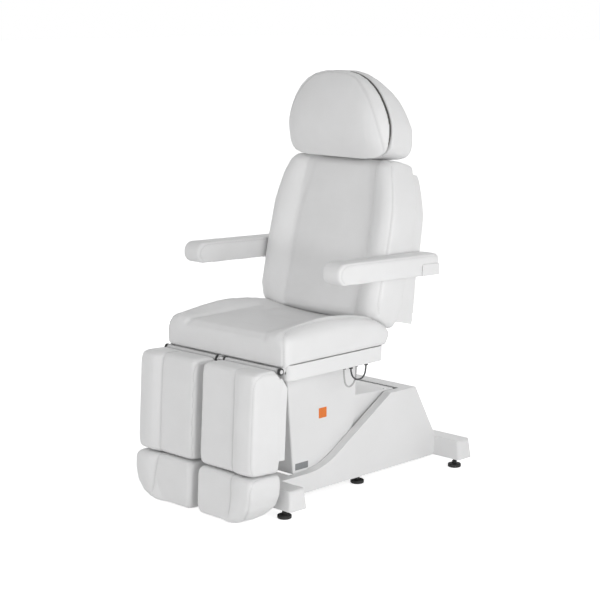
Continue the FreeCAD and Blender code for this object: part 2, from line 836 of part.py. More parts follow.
def lower_lift_links():
    piece = Piece("lower_lift_links")
    for name, side in SIDES:
        start = lower_link_inner if side > 0 else -lower_link_inner - at.plate_thickness
        piece.prism("X", start, start + at.plate_thickness, bar_outline(
            lift_front_y, at.lift_rear_y, at.lift_lower_z, at.lower_link_half_height))
    middle = blend(at.lift_rear_y, lift_front_y, TUBE_SHARE)
    piece.rod("X", -lower_link_inner, lower_link_inner, (middle, at.lift_lower_z),
              at.lift_pin_radius)
    for place in (at.lift_rear_y, lift_front_y):
        piece.rod("X", -tower_inner, tower_inner, (place, at.lift_lower_z),
                  at.lift_pin_radius + at.pin_clearance, cut=True)


# The lift drive lies along a line from its base pin to the lug, so it is drawn upright in a
# frame of its own with the base pin at its origin.
drive_angle = -degrees_of(at.lift_motor_y - at.lift_lug_y, at.lift_lug_z - at.lift_motor_z)
drive_length_value = math.hypot(at.lift_lug_y.value - at.lift_motor_y.value,
                                at.lift_lug_z.value - at.lift_motor_z.value)
drive_length = Size("sqrt((%s)^2 + (%s)^2)" % (
    (at.lift_lug_y - at.lift_motor_y).text, (at.lift_lug_z - at.lift_motor_z).text),
    drive_length_value)


def lift_motor():
    """Spindle tube with its gearbox and a motor can beside it."""
    piece = Piece("lift_motor")
    half = at.gearbox_size / 2
    piece.rod("Z", at.lift_tube_start, at.lift_tube_end, (ZERO, ZERO), at.drive_tube_radius)
    piece.block((-half, -half, at.gearbox_start),
                (at.motor_can_offset + half / 2, half, at.gearbox_start + at.gearbox_length))
    piece.rod("Z", at.gearbox_start + at.gearbox_length / 2,
              at.gearbox_start + at.gearbox_length / 2 + at.motor_can_length,
              (at.motor_can_offset, ZERO), at.motor_can_radius)
    eye = at.drive_eye_half_width
    neck = at.drive_tube_radius / 2
    piece.prism("X", -eye, eye, [
        (-neck, at.gearbox_start), (-neck, ZERO), (ZERO, -neck, "arc"), (neck, ZERO),
        (neck, at.gearbox_start)])
    piece.rod("X", -eye, eye, (ZERO, ZERO), at.drive_pin_radius + at.pin_clearance, cut=True)
    piece.rod("Z", at.lift_rod_start - at.gearbox_start / 2, at.lift_tube_end, (ZERO, ZERO),
              at.drive_rod_radius + at.pin_clearance, cut=True)
    piece.placed((ZERO, at.lift_motor_y, at.lift_motor_z), drive_angle)


def lift_rod():
    """Rod with a wide eye, which leaves the lug pin room to wander."""
    piece = Piece("lift_rod")
    piece.rod("Z", at.lift_rod_start, drive_length - at.drive_eye_radius * 0.8, (ZERO, ZERO),
              at.drive_rod_radius)
    eye = at.drive_eye_half_width
    piece.rod("X", -eye, eye, (ZERO, drive_length), at.drive_eye_radius)
    piece.rod("X", -eye, eye, (ZERO, drive_length), at.drive_pin_radius + at.lift_eye_play,
              cut=True)
    piece.placed((ZERO, at.lift_motor_y, at.lift_motor_z), drive_angle)


def carrier_frame():
    """Two plates that hold the front pivots and the seat's tilt pivot, with a beam between."""
    piece = Piece("carrier_frame")
    head = at.pivot_head_radius * 0.75
    for name, side in SIDES:
        start = tower_inner if side > 0 else -tower_outer
        piece.prism("X", start, start + at.plate_thickness, [
            (at.carrier_front, at.carrier_foot), (at.carrier_rear, at.carrier_foot),
            (at.carrier_rear, at.carrier_step), (at.tilt_y + head, at.carrier_step),
            (at.tilt_y + head, at.tilt_z), (at.tilt_y, at.tilt_z + head, "arc"),
            (at.tilt_y - head, at.tilt_z), (at.tilt_y - head * 3, at.carrier_top),
            (at.carrier_front, at.carrier_top)])
        near_side = tower_outer * side
        far_side = (at.shroud_half_width - at.shroud_wall - at.fix_clearance) * side
        for place in (at.carrier_front + at.carrier_beam, at.tilt_y - head * 3):
            piece.block((near_side, place - at.plate_thickness, at.carrier_step + head),
                        (far_side, place + at.plate_thickness, at.carrier_top - head))
    beam = at.carrier_beam
    piece.block((-tower_inner, at.carrier_front, at.tilt_drive_z - beam / 2),
                (tower_inner, at.carrier_front + beam / 2, at.tilt_drive_z + beam / 2))
    piece.block((-tower_inner, at.carrier_front + beam / 2, at.carrier_top - beam / 4),
                (tower_inner, at.tilt_y - head * 3, at.carrier_top))
    reach = at.shroud_half_width
    for height in (at.lift_upper_z, at.lift_lower_z):
        piece.rod("X", -reach, reach, (lift_front_y, height),
                  at.lift_pin_radius + at.pin_clearance, cut=True)
    piece.rod("X", -reach, reach, (at.tilt_y, at.tilt_z),
              at.tilt_pin_radius + at.pin_clearance, cut=True)


def front_pivot_pins():
    piece = Piece("front_pivot_pins")
    reach = upper_arm_inner + at.plate_thickness
    for height in (at.lift_upper_z, at.lift_lower_z):
        piece.rod("X", -reach, reach, (lift_front_y, height), at.lift_pin_radius)


def tilt_pivot_pins():
    piece = Piece("tilt_pivot_pins")
    reach = at.tilt_ear_inner + at.plate_thickness + at.tilt_pin_radius / 2
    for name, side in SIDES:
        start = tower_inner - at.tilt_pin_radius / 2
        low = start if side > 0 else -reach
        high = reach if side > 0 else -start
        piece.rod("X", low, high, (at.tilt_y, at.tilt_z), at.tilt_pin_radius)


def lift_shroud():
    """The sail that hides the arms: a front wall and two side plates with a swept rear."""
    piece = Piece("lift_shroud")
    turn_y = blend(at.shroud_foot_rear, at.shroud_rear, 0.78)
    turn_z = blend(at.shroud_foot_z, at.shroud_rear_low_z, 0.37)
    sides = [(at.shroud_foot_front, at.shroud_foot_z), (at.shroud_foot_rear, at.shroud_foot_z),
             (blend(at.shroud_foot_rear, at.shroud_rear, 0.42),
              blend(at.shroud_foot_z, at.shroud_rear_low_z, 0.118), "arc"),
             (turn_y, turn_z),
             (blend(at.shroud_foot_rear, at.shroud_rear, 0.945),
              blend(at.shroud_foot_z, at.shroud_rear_low_z, 0.66), "arc"),
             (at.shroud_rear, at.shroud_rear_low_z), (at.shroud_rear, at.shroud_top_z),
             (at.shroud_top_front, at.shroud_top_z), (at.shroud_knee_front, at.shroud_knee_z)]
    piece.prism("X", -at.shroud_half_width, at.shroud_half_width, sides)
    piece.round_edges(at.shroud_wall * 2, lambda edge, middle: (
        near(abs(middle.x), at.shroud_half_width)
        and middle.y < at.shroud_foot_front.value
        and abs(edge.tangentAt(edge.FirstParameter).z) > STRAIGHT_SHARE * 0.9))
    inside = at.shroud_half_width - at.shroud_wall
    past = at.shroud_wall
    piece.prism("X", -inside, inside, [
        (at.shroud_foot_front + past, at.shroud_foot_z - past),
        (at.shroud_rear + past, at.shroud_foot_z - past),
        (at.shroud_rear + past, at.shroud_top_z + past),
        (at.shroud_top_front + past, at.shroud_top_z + past),
        (at.shroud_knee_front + past, at.shroud_knee_z)], cut=True)


def tilt_motor():
    piece = Piece("tilt_motor")
    centre = (at.tilt_drive_x, at.tilt_drive_z)
    half = at.tilt_motor_radius
    low = at.carrier_front + at.carrier_beam / 2
    piece.block((at.tilt_drive_x - half, low, at.tilt_drive_z - half),
                (at.tilt_drive_x + half, at.tilt_motor_start + half, at.tilt_drive_z + half))
    piece.rod("Y", at.tilt_motor_start, at.tilt_tube_end, centre, half * 0.8)
    piece.rod("Y", at.tilt_rod_start - half, at.tilt_tube_end, centre,
              at.tilt_rod_radius + at.pin_clearance, cut=True)


def tilt_rod():
    """Rod whose fork carries the pin that pulls the tilt lever."""
    piece = Piece("tilt_rod")
    centre = (at.tilt_drive_x, at.tilt_drive_z)
    inside = at.tilt_lever_half_width + at.fix_clearance
    cheek = at.tilt_rod_radius / 2
    back = at.tilt_y + at.tilt_rod_radius * 1.4
    reach = inside + cheek
    piece.rod("Y", at.tilt_rod_start, at.tilt_y - at.tilt_rod_radius * 2, centre,
              at.tilt_rod_radius)
    piece.block((at.tilt_drive_x - reach, at.tilt_y - at.tilt_rod_radius * 2.4,
                 at.tilt_drive_z - at.tilt_rod_radius),
                (at.tilt_drive_x + reach, back, at.tilt_drive_z + at.tilt_rod_radius))
    piece.block((at.tilt_drive_x - inside, at.tilt_y - at.tilt_rod_radius * 1.9,
                 at.tilt_drive_z - at.tilt_rod_radius * 2),
                (at.tilt_drive_x + inside, back + cheek,
                 at.tilt_drive_z + at.tilt_rod_radius * 2), cut=True)
    piece.rod("X", at.tilt_drive_x - reach, at.tilt_drive_x + reach,
              (at.tilt_y, at.tilt_drive_z), at.tilt_rod_radius / 2)


# Seat frame, tray and the fittings they carry.
seat_rail_inner = at.seat_half_width - at.seat_rail_inset
seat_rail_outer = seat_rail_inner + at.seat_rail_width
back_ear_inner = at.seat_half_width - at.back_ear_inset
back_ear_outer = back_ear_inner + at.plate_thickness
leg_ear_thickness = at.plate_thickness / 2
leg_outer_x = at.seat_half_width - at.leg_side_inset
leg_ear_places = (leg_outer_x - at.leg_inner_x, at.leg_inner_x)
recline_pin_radius = at.drive_pin_radius


def seat_frame():
    piece = Piece("seat_frame")
    top = at.seat_rail_top
    cross_foot = top - at.seat_cross_height
    for name, side in SIDES:
        piece.block((seat_rail_inner * side, at.seat_rail_front, at.seat_rail_foot),
                    (seat_rail_outer * side, at.seat_rail_rear, top))
    crossings = (at.seat_rail_front + at.seat_cross_depth / 2,
                 blend(at.seat_rail_front, at.tilt_y, 0.5), at.tilt_y)
    for middle in crossings:
        piece.block((-seat_rail_outer, middle - at.seat_cross_depth / 2, cross_foot),
                    (seat_rail_outer, middle + at.seat_cross_depth / 2, top))
    head = at.pivot_head_radius * 0.7
    for name, side in SIDES:
        start = at.tilt_ear_inner if side > 0 else -at.tilt_ear_inner - at.plate_thickness
        piece.prism("X", start, start + at.plate_thickness, [
            (at.tilt_y - head, at.tilt_z), (at.tilt_y, at.tilt_z - head, "arc"),
            (at.tilt_y + head, at.tilt_z), (at.tilt_y + head, top), (at.tilt_y - head, top)])
    lever = at.tilt_rod_radius * 1.3
    piece.prism("X", at.tilt_drive_x - at.tilt_lever_half_width,
                at.tilt_drive_x + at.tilt_lever_half_width, [
        (at.tilt_y - lever, at.tilt_drive_z), (at.tilt_y, at.tilt_drive_z - lever, "arc"),
        (at.tilt_y + lever, at.tilt_drive_z), (at.tilt_y + lever, top),
        (at.tilt_y - lever, top)])
    for name, side in SIDES:
        start = back_ear_inner if side > 0 else -back_ear_outer
        rear = at.back_pivot_y
        head_radius = at.back_ear_radius
        piece.prism("X", start, start + at.plate_thickness, [
            (at.tilt_y, at.seat_rail_foot), (at.seat_rail_rear, at.seat_rail_foot),
            (rear + head_radius, at.back_pivot_z),
            (rear, at.back_pivot_z + head_radius, "arc"),
            (rear - head_radius, at.back_pivot_z), (rear - head_radius, top), (at.tilt_y, top)])
        inner = (seat_rail_outer - at.fix_clearance) * side
        outer = (back_ear_inner + at.fix_clearance) * side
        piece.block((inner, at.tilt_y, at.seat_rail_foot), (outer, at.seat_rail_rear, top))
    # Short ears carry the leg hinge rod in front of the tray.
    reach = at.leg_rod_radius * 1.5
    for name, side in SIDES:
        for place in leg_ear_places:
            middle = place * side
            piece.prism("X", middle - leg_ear_thickness / 2, middle + leg_ear_thickness / 2, [
                (at.leg_pivot_y - reach, at.leg_pivot_z),
                (at.leg_pivot_y, at.leg_pivot_z - reach, "arc"),
                (at.leg_pivot_y + reach, at.leg_pivot_z - reach / 2),
                (at.seat_rail_front + reach, cross_foot), (at.seat_rail_front + reach, top),
                (at.leg_pivot_y, at.leg_pivot_z + reach)])
        outer = (leg_ear_places[0] + leg_ear_thickness / 2) * side
        inner = seat_rail_inner * side
        piece.block((inner, at.seat_rail_front, cross_foot),
                    (outer, at.seat_rail_front + at.seat_cross_depth / 2, top))
    piece.rod("X", -at.seat_half_width, at.seat_half_width, (at.leg_pivot_y, at.leg_pivot_z),
              at.leg_rod_radius + at.pin_clearance, cut=True)
    piece.rod("X", -at.seat_half_width, at.seat_half_width, (at.back_pivot_y, at.back_pivot_z),
              at.back_pin_radius + at.pin_clearance, cut=True)
    piece.rod("X", -at.shroud_half_width, at.shroud_half_width, (at.tilt_y, at.tilt_z),
              at.tilt_pin_radius + at.pin_clearance, cut=True)
    piece.rod("X", at.tilt_drive_x - at.tilt_rod_radius, at.tilt_drive_x + at.tilt_rod_radius,
              (at.tilt_y, at.tilt_drive_z), at.tilt_rod_radius / 2 + at.tilt_eye_play,
              cut=True)
    # The recline motor hangs from the middle crossing.
    hanger = blend(at.seat_rail_front, at.tilt_y, 0.5)
    piece.block((-at.drive_tube_radius, hanger - at.seat_cross_depth / 2,
                 at.recline_drive_z + at.drive_tube_radius),
                (at.drive_tube_radius, hanger + at.seat_cross_depth / 2, cross_foot))


def sided(low, high, side):
    """The reach from low to high on the left side, or its mirror image on the right."""
    return (low, high) if side > 0 else (-high, -low)


def seat_tray():
    piece = Piece("seat_tray")
    half = at.seat_half_width
    wall = at.tray_wall
    piece.block((-half, at.tray_front, at.tray_foot), (half, at.tray_rear, at.tray_top))
    piece.round_edges(at.tray_corner, lambda edge, middle: along(edge, "Z"))
    piece.round_edges(at.tray_edge, lambda edge, middle: near(middle.z, at.tray_foot))
    piece.hollowed(wall, lambda face, middle: near(middle.z, at.tray_top))
    play = at.fix_clearance
    low, high = at.tray_foot - wall, at.tray_foot + wall * 2
    reach = at.pivot_head_radius * 0.7 + play
    for name, side in SIDES:
        near_x, far_x = sided(at.tilt_ear_inner - play,
                              at.tilt_ear_inner + at.plate_thickness + play, side)
        piece.block((near_x, at.tilt_y - reach, low), (far_x, at.tilt_y + reach, high),
                    cut=True)
        near_x, far_x = sided(back_ear_inner - play, back_ear_outer + play, side)
        piece.block((near_x, at.tray_rear - wall * 2, at.seat_rail_foot),
                    (far_x, at.tray_rear + wall, at.tray_top + wall), cut=True)
        for place in leg_ear_places:
            near_x, far_x = sided(place - leg_ear_thickness / 2 - play,
                                  place + leg_ear_thickness / 2 + play, side)
            piece.block((near_x, at.tray_front - wall,
                         at.leg_pivot_z - at.leg_rod_radius * 2),
                        (far_x, at.tray_front + wall * 4, at.tray_top + wall), cut=True)
    lever = at.tilt_rod_radius * 1.3 + play
    piece.block((at.tilt_drive_x - at.tilt_lever_half_width - play, at.tilt_y - lever, low),
                (at.tilt_drive_x + at.tilt_lever_half_width + play, at.tilt_y + lever, high),
                cut=True)
    bay = at.gearbox_size / 2
    piece.block((-bay, recline_block_front - at.plate_thickness, low),
                (at.motor_can_offset + at.motor_can_radius + at.plate_thickness / 2,
                 recline_can_end + at.plate_thickness / 2, high), cut=True)
    piece.block((-at.drive_tube_radius - wall, recline_block_front, low),
                (at.drive_tube_radius + wall, at.tray_rear + wall,
                 at.recline_drive_z + at.drive_tube_radius + wall), cut=True)


recline_block_front = blend(at.seat_rail_front, at.tilt_y, 0.5) - at.seat_cross_depth / 2
recline_block_rear = blend(at.seat_rail_front, at.tilt_y, 0.5) + at.seat_cross_depth / 2
recline_can_end = recline_block_rear + at.gearbox_length / 2 + at.motor_can_length
recline_reach = at.back_pivot_z - at.recline_drive_z
recline_pin_y = at.back_pivot_y + recline_reach * tangent(at.recline_swing)


def recline_motor():
    piece = Piece("recline_motor")
    radius = at.drive_tube_radius
    centre = (ZERO, at.recline_drive_z)
    box = at.gearbox_size / 2 - at.cover_wall
    piece.block((-radius, recline_block_front, at.recline_drive_z - radius),
                (radius, recline_block_rear, at.recline_drive_z + radius))
    piece.block((-box, recline_block_rear, at.recline_drive_z - box),
                (at.motor_can_offset + box / 2, recline_block_rear + at.gearbox_length,
                 at.recline_drive_z + box))
    piece.rod("Y", recline_block_rear + at.gearbox_length / 2, recline_can_end,
              (at.motor_can_offset, at.recline_drive_z), at.motor_can_radius)
    piece.rod("Y", recline_block_rear, at.recline_tube_end, centre, radius)
    piece.rod("Y", at.recline_tube_start, at.recline_tube_end, centre,
              at.drive_rod_radius + at.pin_clearance, cut=True)


def recline_rod():
    """Rod with a cross pin that runs in the slots of the backrest's lever."""
    piece = Piece("recline_rod")
    piece.rod("Y", at.recline_rod_start, recline_pin_y, (ZERO, at.recline_drive_z),
              at.drive_rod_radius)
    reach = at.recline_lever_inner + at.drive_lug_thickness + at.frame_play * 2
    piece.rod("X", -reach, reach, (recline_pin_y, at.recline_drive_z), recline_pin_radius)


def back_hinge_pins():
    piece = Piece("back_hinge_pins")
    for name, side in SIDES:
        low, high = sided(back_ear_inner - at.back_ear_radius - at.cover_wall,
                          back_ear_outer + at.drive_pin_radius, side)
        piece.rod("X", low, high, (at.back_pivot_y, at.back_pivot_z), at.back_pin_radius)


def leg_hinge_rod():
    piece = Piece("leg_hinge_rod")
    reach = leg_outer_x - at.cover_wall / 2
    piece.rod("X", -reach, reach, (at.leg_pivot_y, at.leg_pivot_z), at.leg_rod_radius)


def leg_ratchets():
    """Black self-locking discs at both ends of each leg hinge."""
    piece = Piece("leg_ratchets")
    play = at.fix_clearance
    outside = leg_ear_places[0] + leg_ear_thickness / 2 + play
    inside = leg_ear_places[1] + leg_ear_thickness / 2 + play
    radius = at.leg_rod_radius * 1.8
    for name, side in SIDES:
        for low, high in ((outside, leg_outer_x - at.cover_wall),
                          (inside, at.leg_inner_x + at.leg_tube_radius - at.cover_wall / 4)):
            first, last = sided(low, high, side)
            piece.rod("X", first, last, (at.leg_pivot_y, at.leg_pivot_z), radius)
    piece.rod("X", -at.seat_half_width, at.seat_half_width, (at.leg_pivot_y, at.leg_pivot_z),
              at.leg_rod_radius + at.pin_clearance, cut=True)


# Cable loops: each is a chain of straight runs joined by arcs, in a plane across the chair.
# Places are along Y from the loop's rear end and down from the tray, as shares of its size.
MOTOR_RUNS = [(0, 0), (0, 0.34), (0.33, 0.66), (0.79, 0.65), (1, 0.34), (1, 0)]
HANDSET_RUNS = [(0, 0), (0, 0.66), (0.28, 0.97), (0.62, 0.87), (0.8, 0.53), (0.8, 0)]
ARC_SHARE = 0.45


def cable_route(start, runs):
    size = mm.cable_loop_size
    return [(start + size * along_share, mm.tray_foot - size * down_share)
            for along_share, down_share in runs]


MOTOR_ROUTE = cable_route(mm.motor_cable_start, MOTOR_RUNS)
HANDSET_ROUTE = cable_route(mm.handset_cable_start, HANDSET_RUNS)


def cable_grommets():
    piece = Piece("cable_grommets")
    size = at.cable_loop_size
    motor_cable_x = at.seat_half_width - at.motor_cable_inset
    handset_cable_x = at.seat_half_width - at.handset_cable_inset
    ends = ((motor_cable_x, at.motor_cable_start),
            (motor_cable_x, at.motor_cable_start + size * MOTOR_RUNS[-1][0]),
            (handset_cable_x, at.handset_cable_start),
            (handset_cable_x, at.handset_cable_start + size * HANDSET_RUNS[-1][0]))
    for place in ends:
        piece.rod("Z", at.tray_foot - at.grommet_height, at.tray_foot, place,
                  at.grommet_radius)
        piece.rod("Z", at.tray_foot - at.grommet_height, at.tray_foot, place,
                  at.cable_radius + at.fix_clearance, cut=True)


def cable(label, plane, route):
    """A round cord along a route whose corners are arcs that meet each run smoothly."""
    points = [FreeCAD.Vector(plane, y, z) for y, z in route]
    edges = []
    last = points[0]
    for before, corner, after in zip(points, points[1:], points[2:]):
        back = before - corner
        ahead = after - corner
        reach = ARC_SHARE * min(back.Length, ahead.Length)
        turn = math.pi - back.getAngle(ahead)
        back.normalize()
        ahead.normalize()
        radius = reach / math.tan(turn / 2)
        print("%s: turn %.1f degrees, radius %.1f" % (label, math.degrees(turn), radius))
        enter = corner + back * reach
        leave = corner + ahead * reach
        inward = back + ahead
        inward.normalize()
        middle = corner + inward * (radius / math.cos(turn / 2) - radius)
        edges.append(Part.LineSegment(last, enter).toShape())
        edges.append(Part.Arc(enter, middle, leave).toShape())
        last = leave
    edges.append(Part.LineSegment(last, points[-1]).toShape())
    path = Part.Wire(edges)
    start = points[1] - points[0]
    ring = Part.Wire([Part.Circle(points[0], start, mm.cable_radius).toShape()])
    return soft_form(label, path.makePipeShell([ring], True, True))


# The backrest is drawn upright about its hinge and then leaned back.
back_place = (ZERO, at.back_pivot_y, at.back_pivot_z)


def in_back(y, z):
    """A place of the standing chair, in the backrest's own upright drawing."""
    across, up = y - at.back_pivot_y, z - at.back_pivot_z
    return (across * cosine(at.back_angle) - up * sine(at.back_angle),
            across * sine(at.back_angle) + up * cosine(at.back_angle))


arm_in_back = in_back(at.arm_pivot_y, at.arm_pivot_z)
head_in_back = in_back(at.head_pivot_y, at.head_pivot_z)
lever_turn = at.recline_swing + at.back_angle


def on_lever(along_lever, across_lever):
    """A place on the recline lever, from its distance from the hinge and its offset."""
    return (along_lever * sine(lever_turn) + across_lever * cosine(lever_turn),
            across_lever * sine(lever_turn) - along_lever * cosine(lever_turn))


def backrest_frame():
    piece = Piece("backrest_frame")
    half = at.back_rail_x + at.back_rail_width / 2
    front, rear = at.back_rail_front, at.back_rail_front + at.back_rail_depth
    tube_half = back_ear_inner - at.back_ear_radius * 0.6
    for name, side in SIDES:
        inner = (at.back_rail_x - at.back_rail_width / 2) * side
        piece.block((inner, front, ZERO), (half * side, rear, at.back_rail_top))
    piece.rod("X", -tube_half, tube_half, (ZERO, ZERO), at.back_tube_radius)
    thick = at.drive_pin_radius
    width = at.seat_cross_depth
    for share in (0.3, 1.0):
        top = at.back_rail_top * share
        piece.block((-half, front, top - width), (half, front + thick, top))
    for name, side in SIDES:
        low, high = sided(at.back_rail_x, at.arm_pin_inner, side)
        piece.rod("X", low, high, arm_in_back, at.arm_pin_radius + at.drive_pin_radius)
        low, high = sided(at.post_x - at.guide_radius - at.cover_wall / 4,
                          at.post_x + at.guide_radius + at.cover_wall / 4, side)
        piece.block((low, at.post_depth - at.guide_radius - at.cover_wall / 4, at.guide_foot),
                    (high, front + thick / 2, at.back_rail_top))
    near_end = recline_reach - recline_pin_radius * 1.5
    far_end = recline_reach / cosine(at.recline_swing) + recline_pin_radius * 1.5
    play = recline_pin_radius + at.recline_slot_play
    edge = at.recline_lever_width / 2
    for name, side in SIDES:
        low, high = sided(at.recline_lever_inner,
                          at.recline_lever_inner + at.drive_lug_thickness, side)
        end = far_end + edge - play
        piece.prism("X", low, high, [
            on_lever(ZERO, -edge / 2), on_lever(ZERO, edge / 2),
            on_lever(near_end, edge), on_lever(end - edge / 2, edge),
            on_lever(end + edge / 4, ZERO) + ("arc",), on_lever(end - edge / 2, -edge),
            on_lever(near_end, -edge)])
    reach = at.recline_lever_inner + at.drive_lug_thickness * 2
    piece.prism("X", -reach, reach, [
        on_lever(near_end, play), on_lever(far_end, play), on_lever(far_end, -play),
        on_lever(near_end, -play)], cut=True)
    for name, side in SIDES:
        low, high = sided(back_ear_inner - at.back_ear_radius - at.drive_eye_radius,
                          back_ear_inner, side)
        piece.rod("X", low, high, (ZERO, ZERO), at.back_pin_radius + at.pin_clearance,
                  cut=True)
        low, high = sided(at.back_rail_x + at.back_rail_width, at.arm_pin_inner + at.arm_rear,
                          side)
        piece.rod("X", low, high, arm_in_back, at.arm_pin_radius + at.pin_clearance, cut=True)
        piece.rod("Z", at.guide_foot - at.guide_radius, at.back_rail_top + at.guide_radius,
                  (at.post_x * side, at.post_depth), at.guide_radius, cut=True)
    piece.placed(back_place, at.back_angle)


def backrest_shell():
    """The white rear moulding, open towards the cushion."""
    piece = Piece("backrest_shell")
    inset = at.back_shell_inset
    middle = blend(at.back_shell_low, at.back_shell_top, 0.73)
    low_half = at.back_half_low - inset / 2
    wide_half = at.back_half_waist - inset
    top_half = at.back_half_top + inset / 4
    piece.prism("Y", at.back_shell_front, at.back_shell_deep, [
        (-low_half, at.back_shell_low), (low_half, at.back_shell_low),
        (wide_half, blend(at.back_shell_low, middle, 0.5), "arc"),
        (wide_half - inset / 2, middle),
        (top_half + inset / 2, blend(middle, at.back_shell_top, 0.6), "arc"),
        (top_half - inset, at.back_shell_top), (-top_half + inset, at.back_shell_top),
        (-top_half - inset / 2, blend(middle, at.back_shell_top, 0.6), "arc"),
        (-wide_half + inset / 2, middle),
        (-wide_half, blend(at.back_shell_low, middle, 0.5), "arc")])
    past = at.back_shell_deep + inset
    knee = blend(at.back_shell_low, at.back_shell_top, 0.29)
    piece.prism("X", -at.back_half_waist - inset * 3, at.back_half_waist + inset * 3, [
        (at.back_shell_deep, at.back_shell_low + inset), (at.back_shell_middle + inset / 2,
                                                         knee),
        (at.back_shell_middle, middle), (at.back_shell_high, at.back_shell_top - inset),
        (at.back_shell_high - inset, at.back_shell_top + inset),
        (past, at.back_shell_top + inset), (past, at.back_shell_low + inset)], cut=True)
    piece.hollowed(at.back_shell_wall,
                   lambda face, middle: near(middle.y, at.back_shell_front))
    for name, side in SIDES:
        low, high = sided(at.arm_pin_inner + at.arm_round, at.arm_inner_x, side)
        piece.rod("X", low, high, arm_in_back, at.arm_pin_radius + at.fix_clearance * 2,
                  cut=True)
    lever = at.recline_lever_inner + at.drive_lug_thickness + at.cover_wall
    piece.block((-lever, at.back_shell_front - at.cover_wall,
                 at.back_shell_low - at.cover_wall),
                (lever, at.back_shell_deep - inset * 2, at.back_shell_low + inset), cut=True)
    for name, side in SIDES:
        low, high = sided(at.back_rail_x - at.back_rail_width,
                          at.back_rail_x + at.back_rail_width, side)
        piece.block((low, at.back_shell_front - at.cover_wall,
                     at.back_shell_low - at.cover_wall),
                    (high, at.back_rail_front + at.back_rail_depth + at.cover_wall,
                     at.back_shell_low + inset), cut=True)
    piece.placed(back_place, at.back_angle)


def armrest_pivots():
    piece = Piece("armrest_pivots")
    for name, side in SIDES:
        low, high = sided(at.back_rail_x + at.back_rail_width, at.arm_outer_x - at.arm_rear,
                          side)
        piece.rod("X", low, high, (ZERO, ZERO), at.arm_pin_radius)
    piece.placed((ZERO, at.arm_pivot_y, at.arm_pivot_z))


def headrest_guides():
    piece = Piece("headrest_guides")
    for name, side in SIDES:
        centre = (at.post_x * side, at.post_depth)
        piece.rod("Z", at.guide_foot, at.guide_top, centre, at.guide_radius)
        piece.rod("Z", at.guide_foot, at.guide_top, centre,
                  at.post_radius + at.pin_clearance, cut=True)
    piece.placed(back_place, at.back_angle)


def headrest_bars():
    piece = Piece("headrest_bars")
    for name, side in SIDES:
        piece.rod("Z", at.post_foot, head_in_back[1], (at.post_x * side, at.post_depth),
                  at.post_radius)
    reach = at.post_x + at.head_tube_radius
    piece.rod("X", -reach, reach, head_in_back, at.head_tube_radius)
    piece.placed(back_place, at.back_angle)


def armrest_core(name, side):
    """Board under the pad, with a hinge block at its rear end."""
    piece = Piece("armrest_core_" + name)
    low, high = sided(at.arm_inner_x, at.arm_outer_x, side)
    block_front = at.arm_rear - at.arm_end_length
    near_x, far_x = sided(at.arm_inner_x + at.arm_board_inset,
                          at.arm_outer_x - at.arm_board_inset, side)
    piece.block((near_x, at.arm_front + at.arm_board_front, at.arm_foot),
                (far_x, at.arm_rear, at.arm_foot + at.arm_core_height))
    piece.round_edges(at.arm_round, lambda edge, middle: along(edge, "Z")
                      and middle.y < block_front.value)
    piece.block((low, block_front, at.arm_foot),
                (high, at.arm_rear, at.arm_foot + at.arm_end_height))
    low, high = sided(at.arm_inner_x - at.arm_round, at.arm_outer_x - at.arm_rear, side)
    piece.rod("X", low, high, (ZERO, ZERO), at.arm_pin_radius + at.pin_clearance, cut=True)
    piece.placed((ZERO, at.arm_pivot_y, at.arm_pivot_z), at.arm_rest_angle)


leg_place = (ZERO, at.leg_pivot_y, at.leg_pivot_z)
LEG_RAIL_SHARES = (0.18, 0.82)


def leg_frame(name, side):
    """Hinge tube, two rails and the two sleeves that the foot bars slide in."""
    piece = Piece("leg_frame_" + name)
    low, high = sided(at.leg_inner_x + at.leg_tube_radius,
                      leg_ear_places[0] - leg_ear_thickness, side)
    piece.rod("X", low, high, (ZERO, ZERO), at.leg_tube_radius)
    front = at.leg_rear + at.cover_wall
    rear = front + at.sleeve_radius
    rails = [blend(at.leg_inner_x, leg_outer_x, share) for share in LEG_RAIL_SHARES]
    for middle in rails:
        first, last = sided(middle - at.leg_rail_width / 2, middle + at.leg_rail_width / 2,
                            side)
        piece.prism("X", first, last, [
            (ZERO, -at.leg_rod_radius * 1.2), (at.leg_rod_radius * 1.2, ZERO),
            (rear, at.leg_shell_top), (rear, at.sleeve_low), (front, at.sleeve_low),
            (front, at.leg_shell_top)])
    first, last = sided(rails[0], rails[1], side)
    for top in (at.sleeve_top, at.sleeve_low + at.plate_thickness):
        piece.block((first, front, top - at.plate_thickness),
                    (last, at.foot_bar_y + at.sleeve_radius / 2, top))
    for place in (at.foot_bar_inner_x, at.foot_bar_outer_x):
        piece.rod("Z", at.sleeve_low, at.sleeve_top, (place * side, at.foot_bar_y),
                  at.sleeve_radius)
    for place in (at.foot_bar_inner_x, at.foot_bar_outer_x):
        piece.rod("Z", at.sleeve_low, at.sleeve_top, (place * side, at.foot_bar_y),
                  at.foot_bar_radius + at.pin_clearance, cut=True)
    first, last = sided(ZERO, at.seat_half_width, side)
    piece.rod("X", first, last, (ZERO, ZERO), at.leg_rod_radius + at.pin_clearance, cut=True)
    piece.placed(leg_place, at.leg_hang_angle)


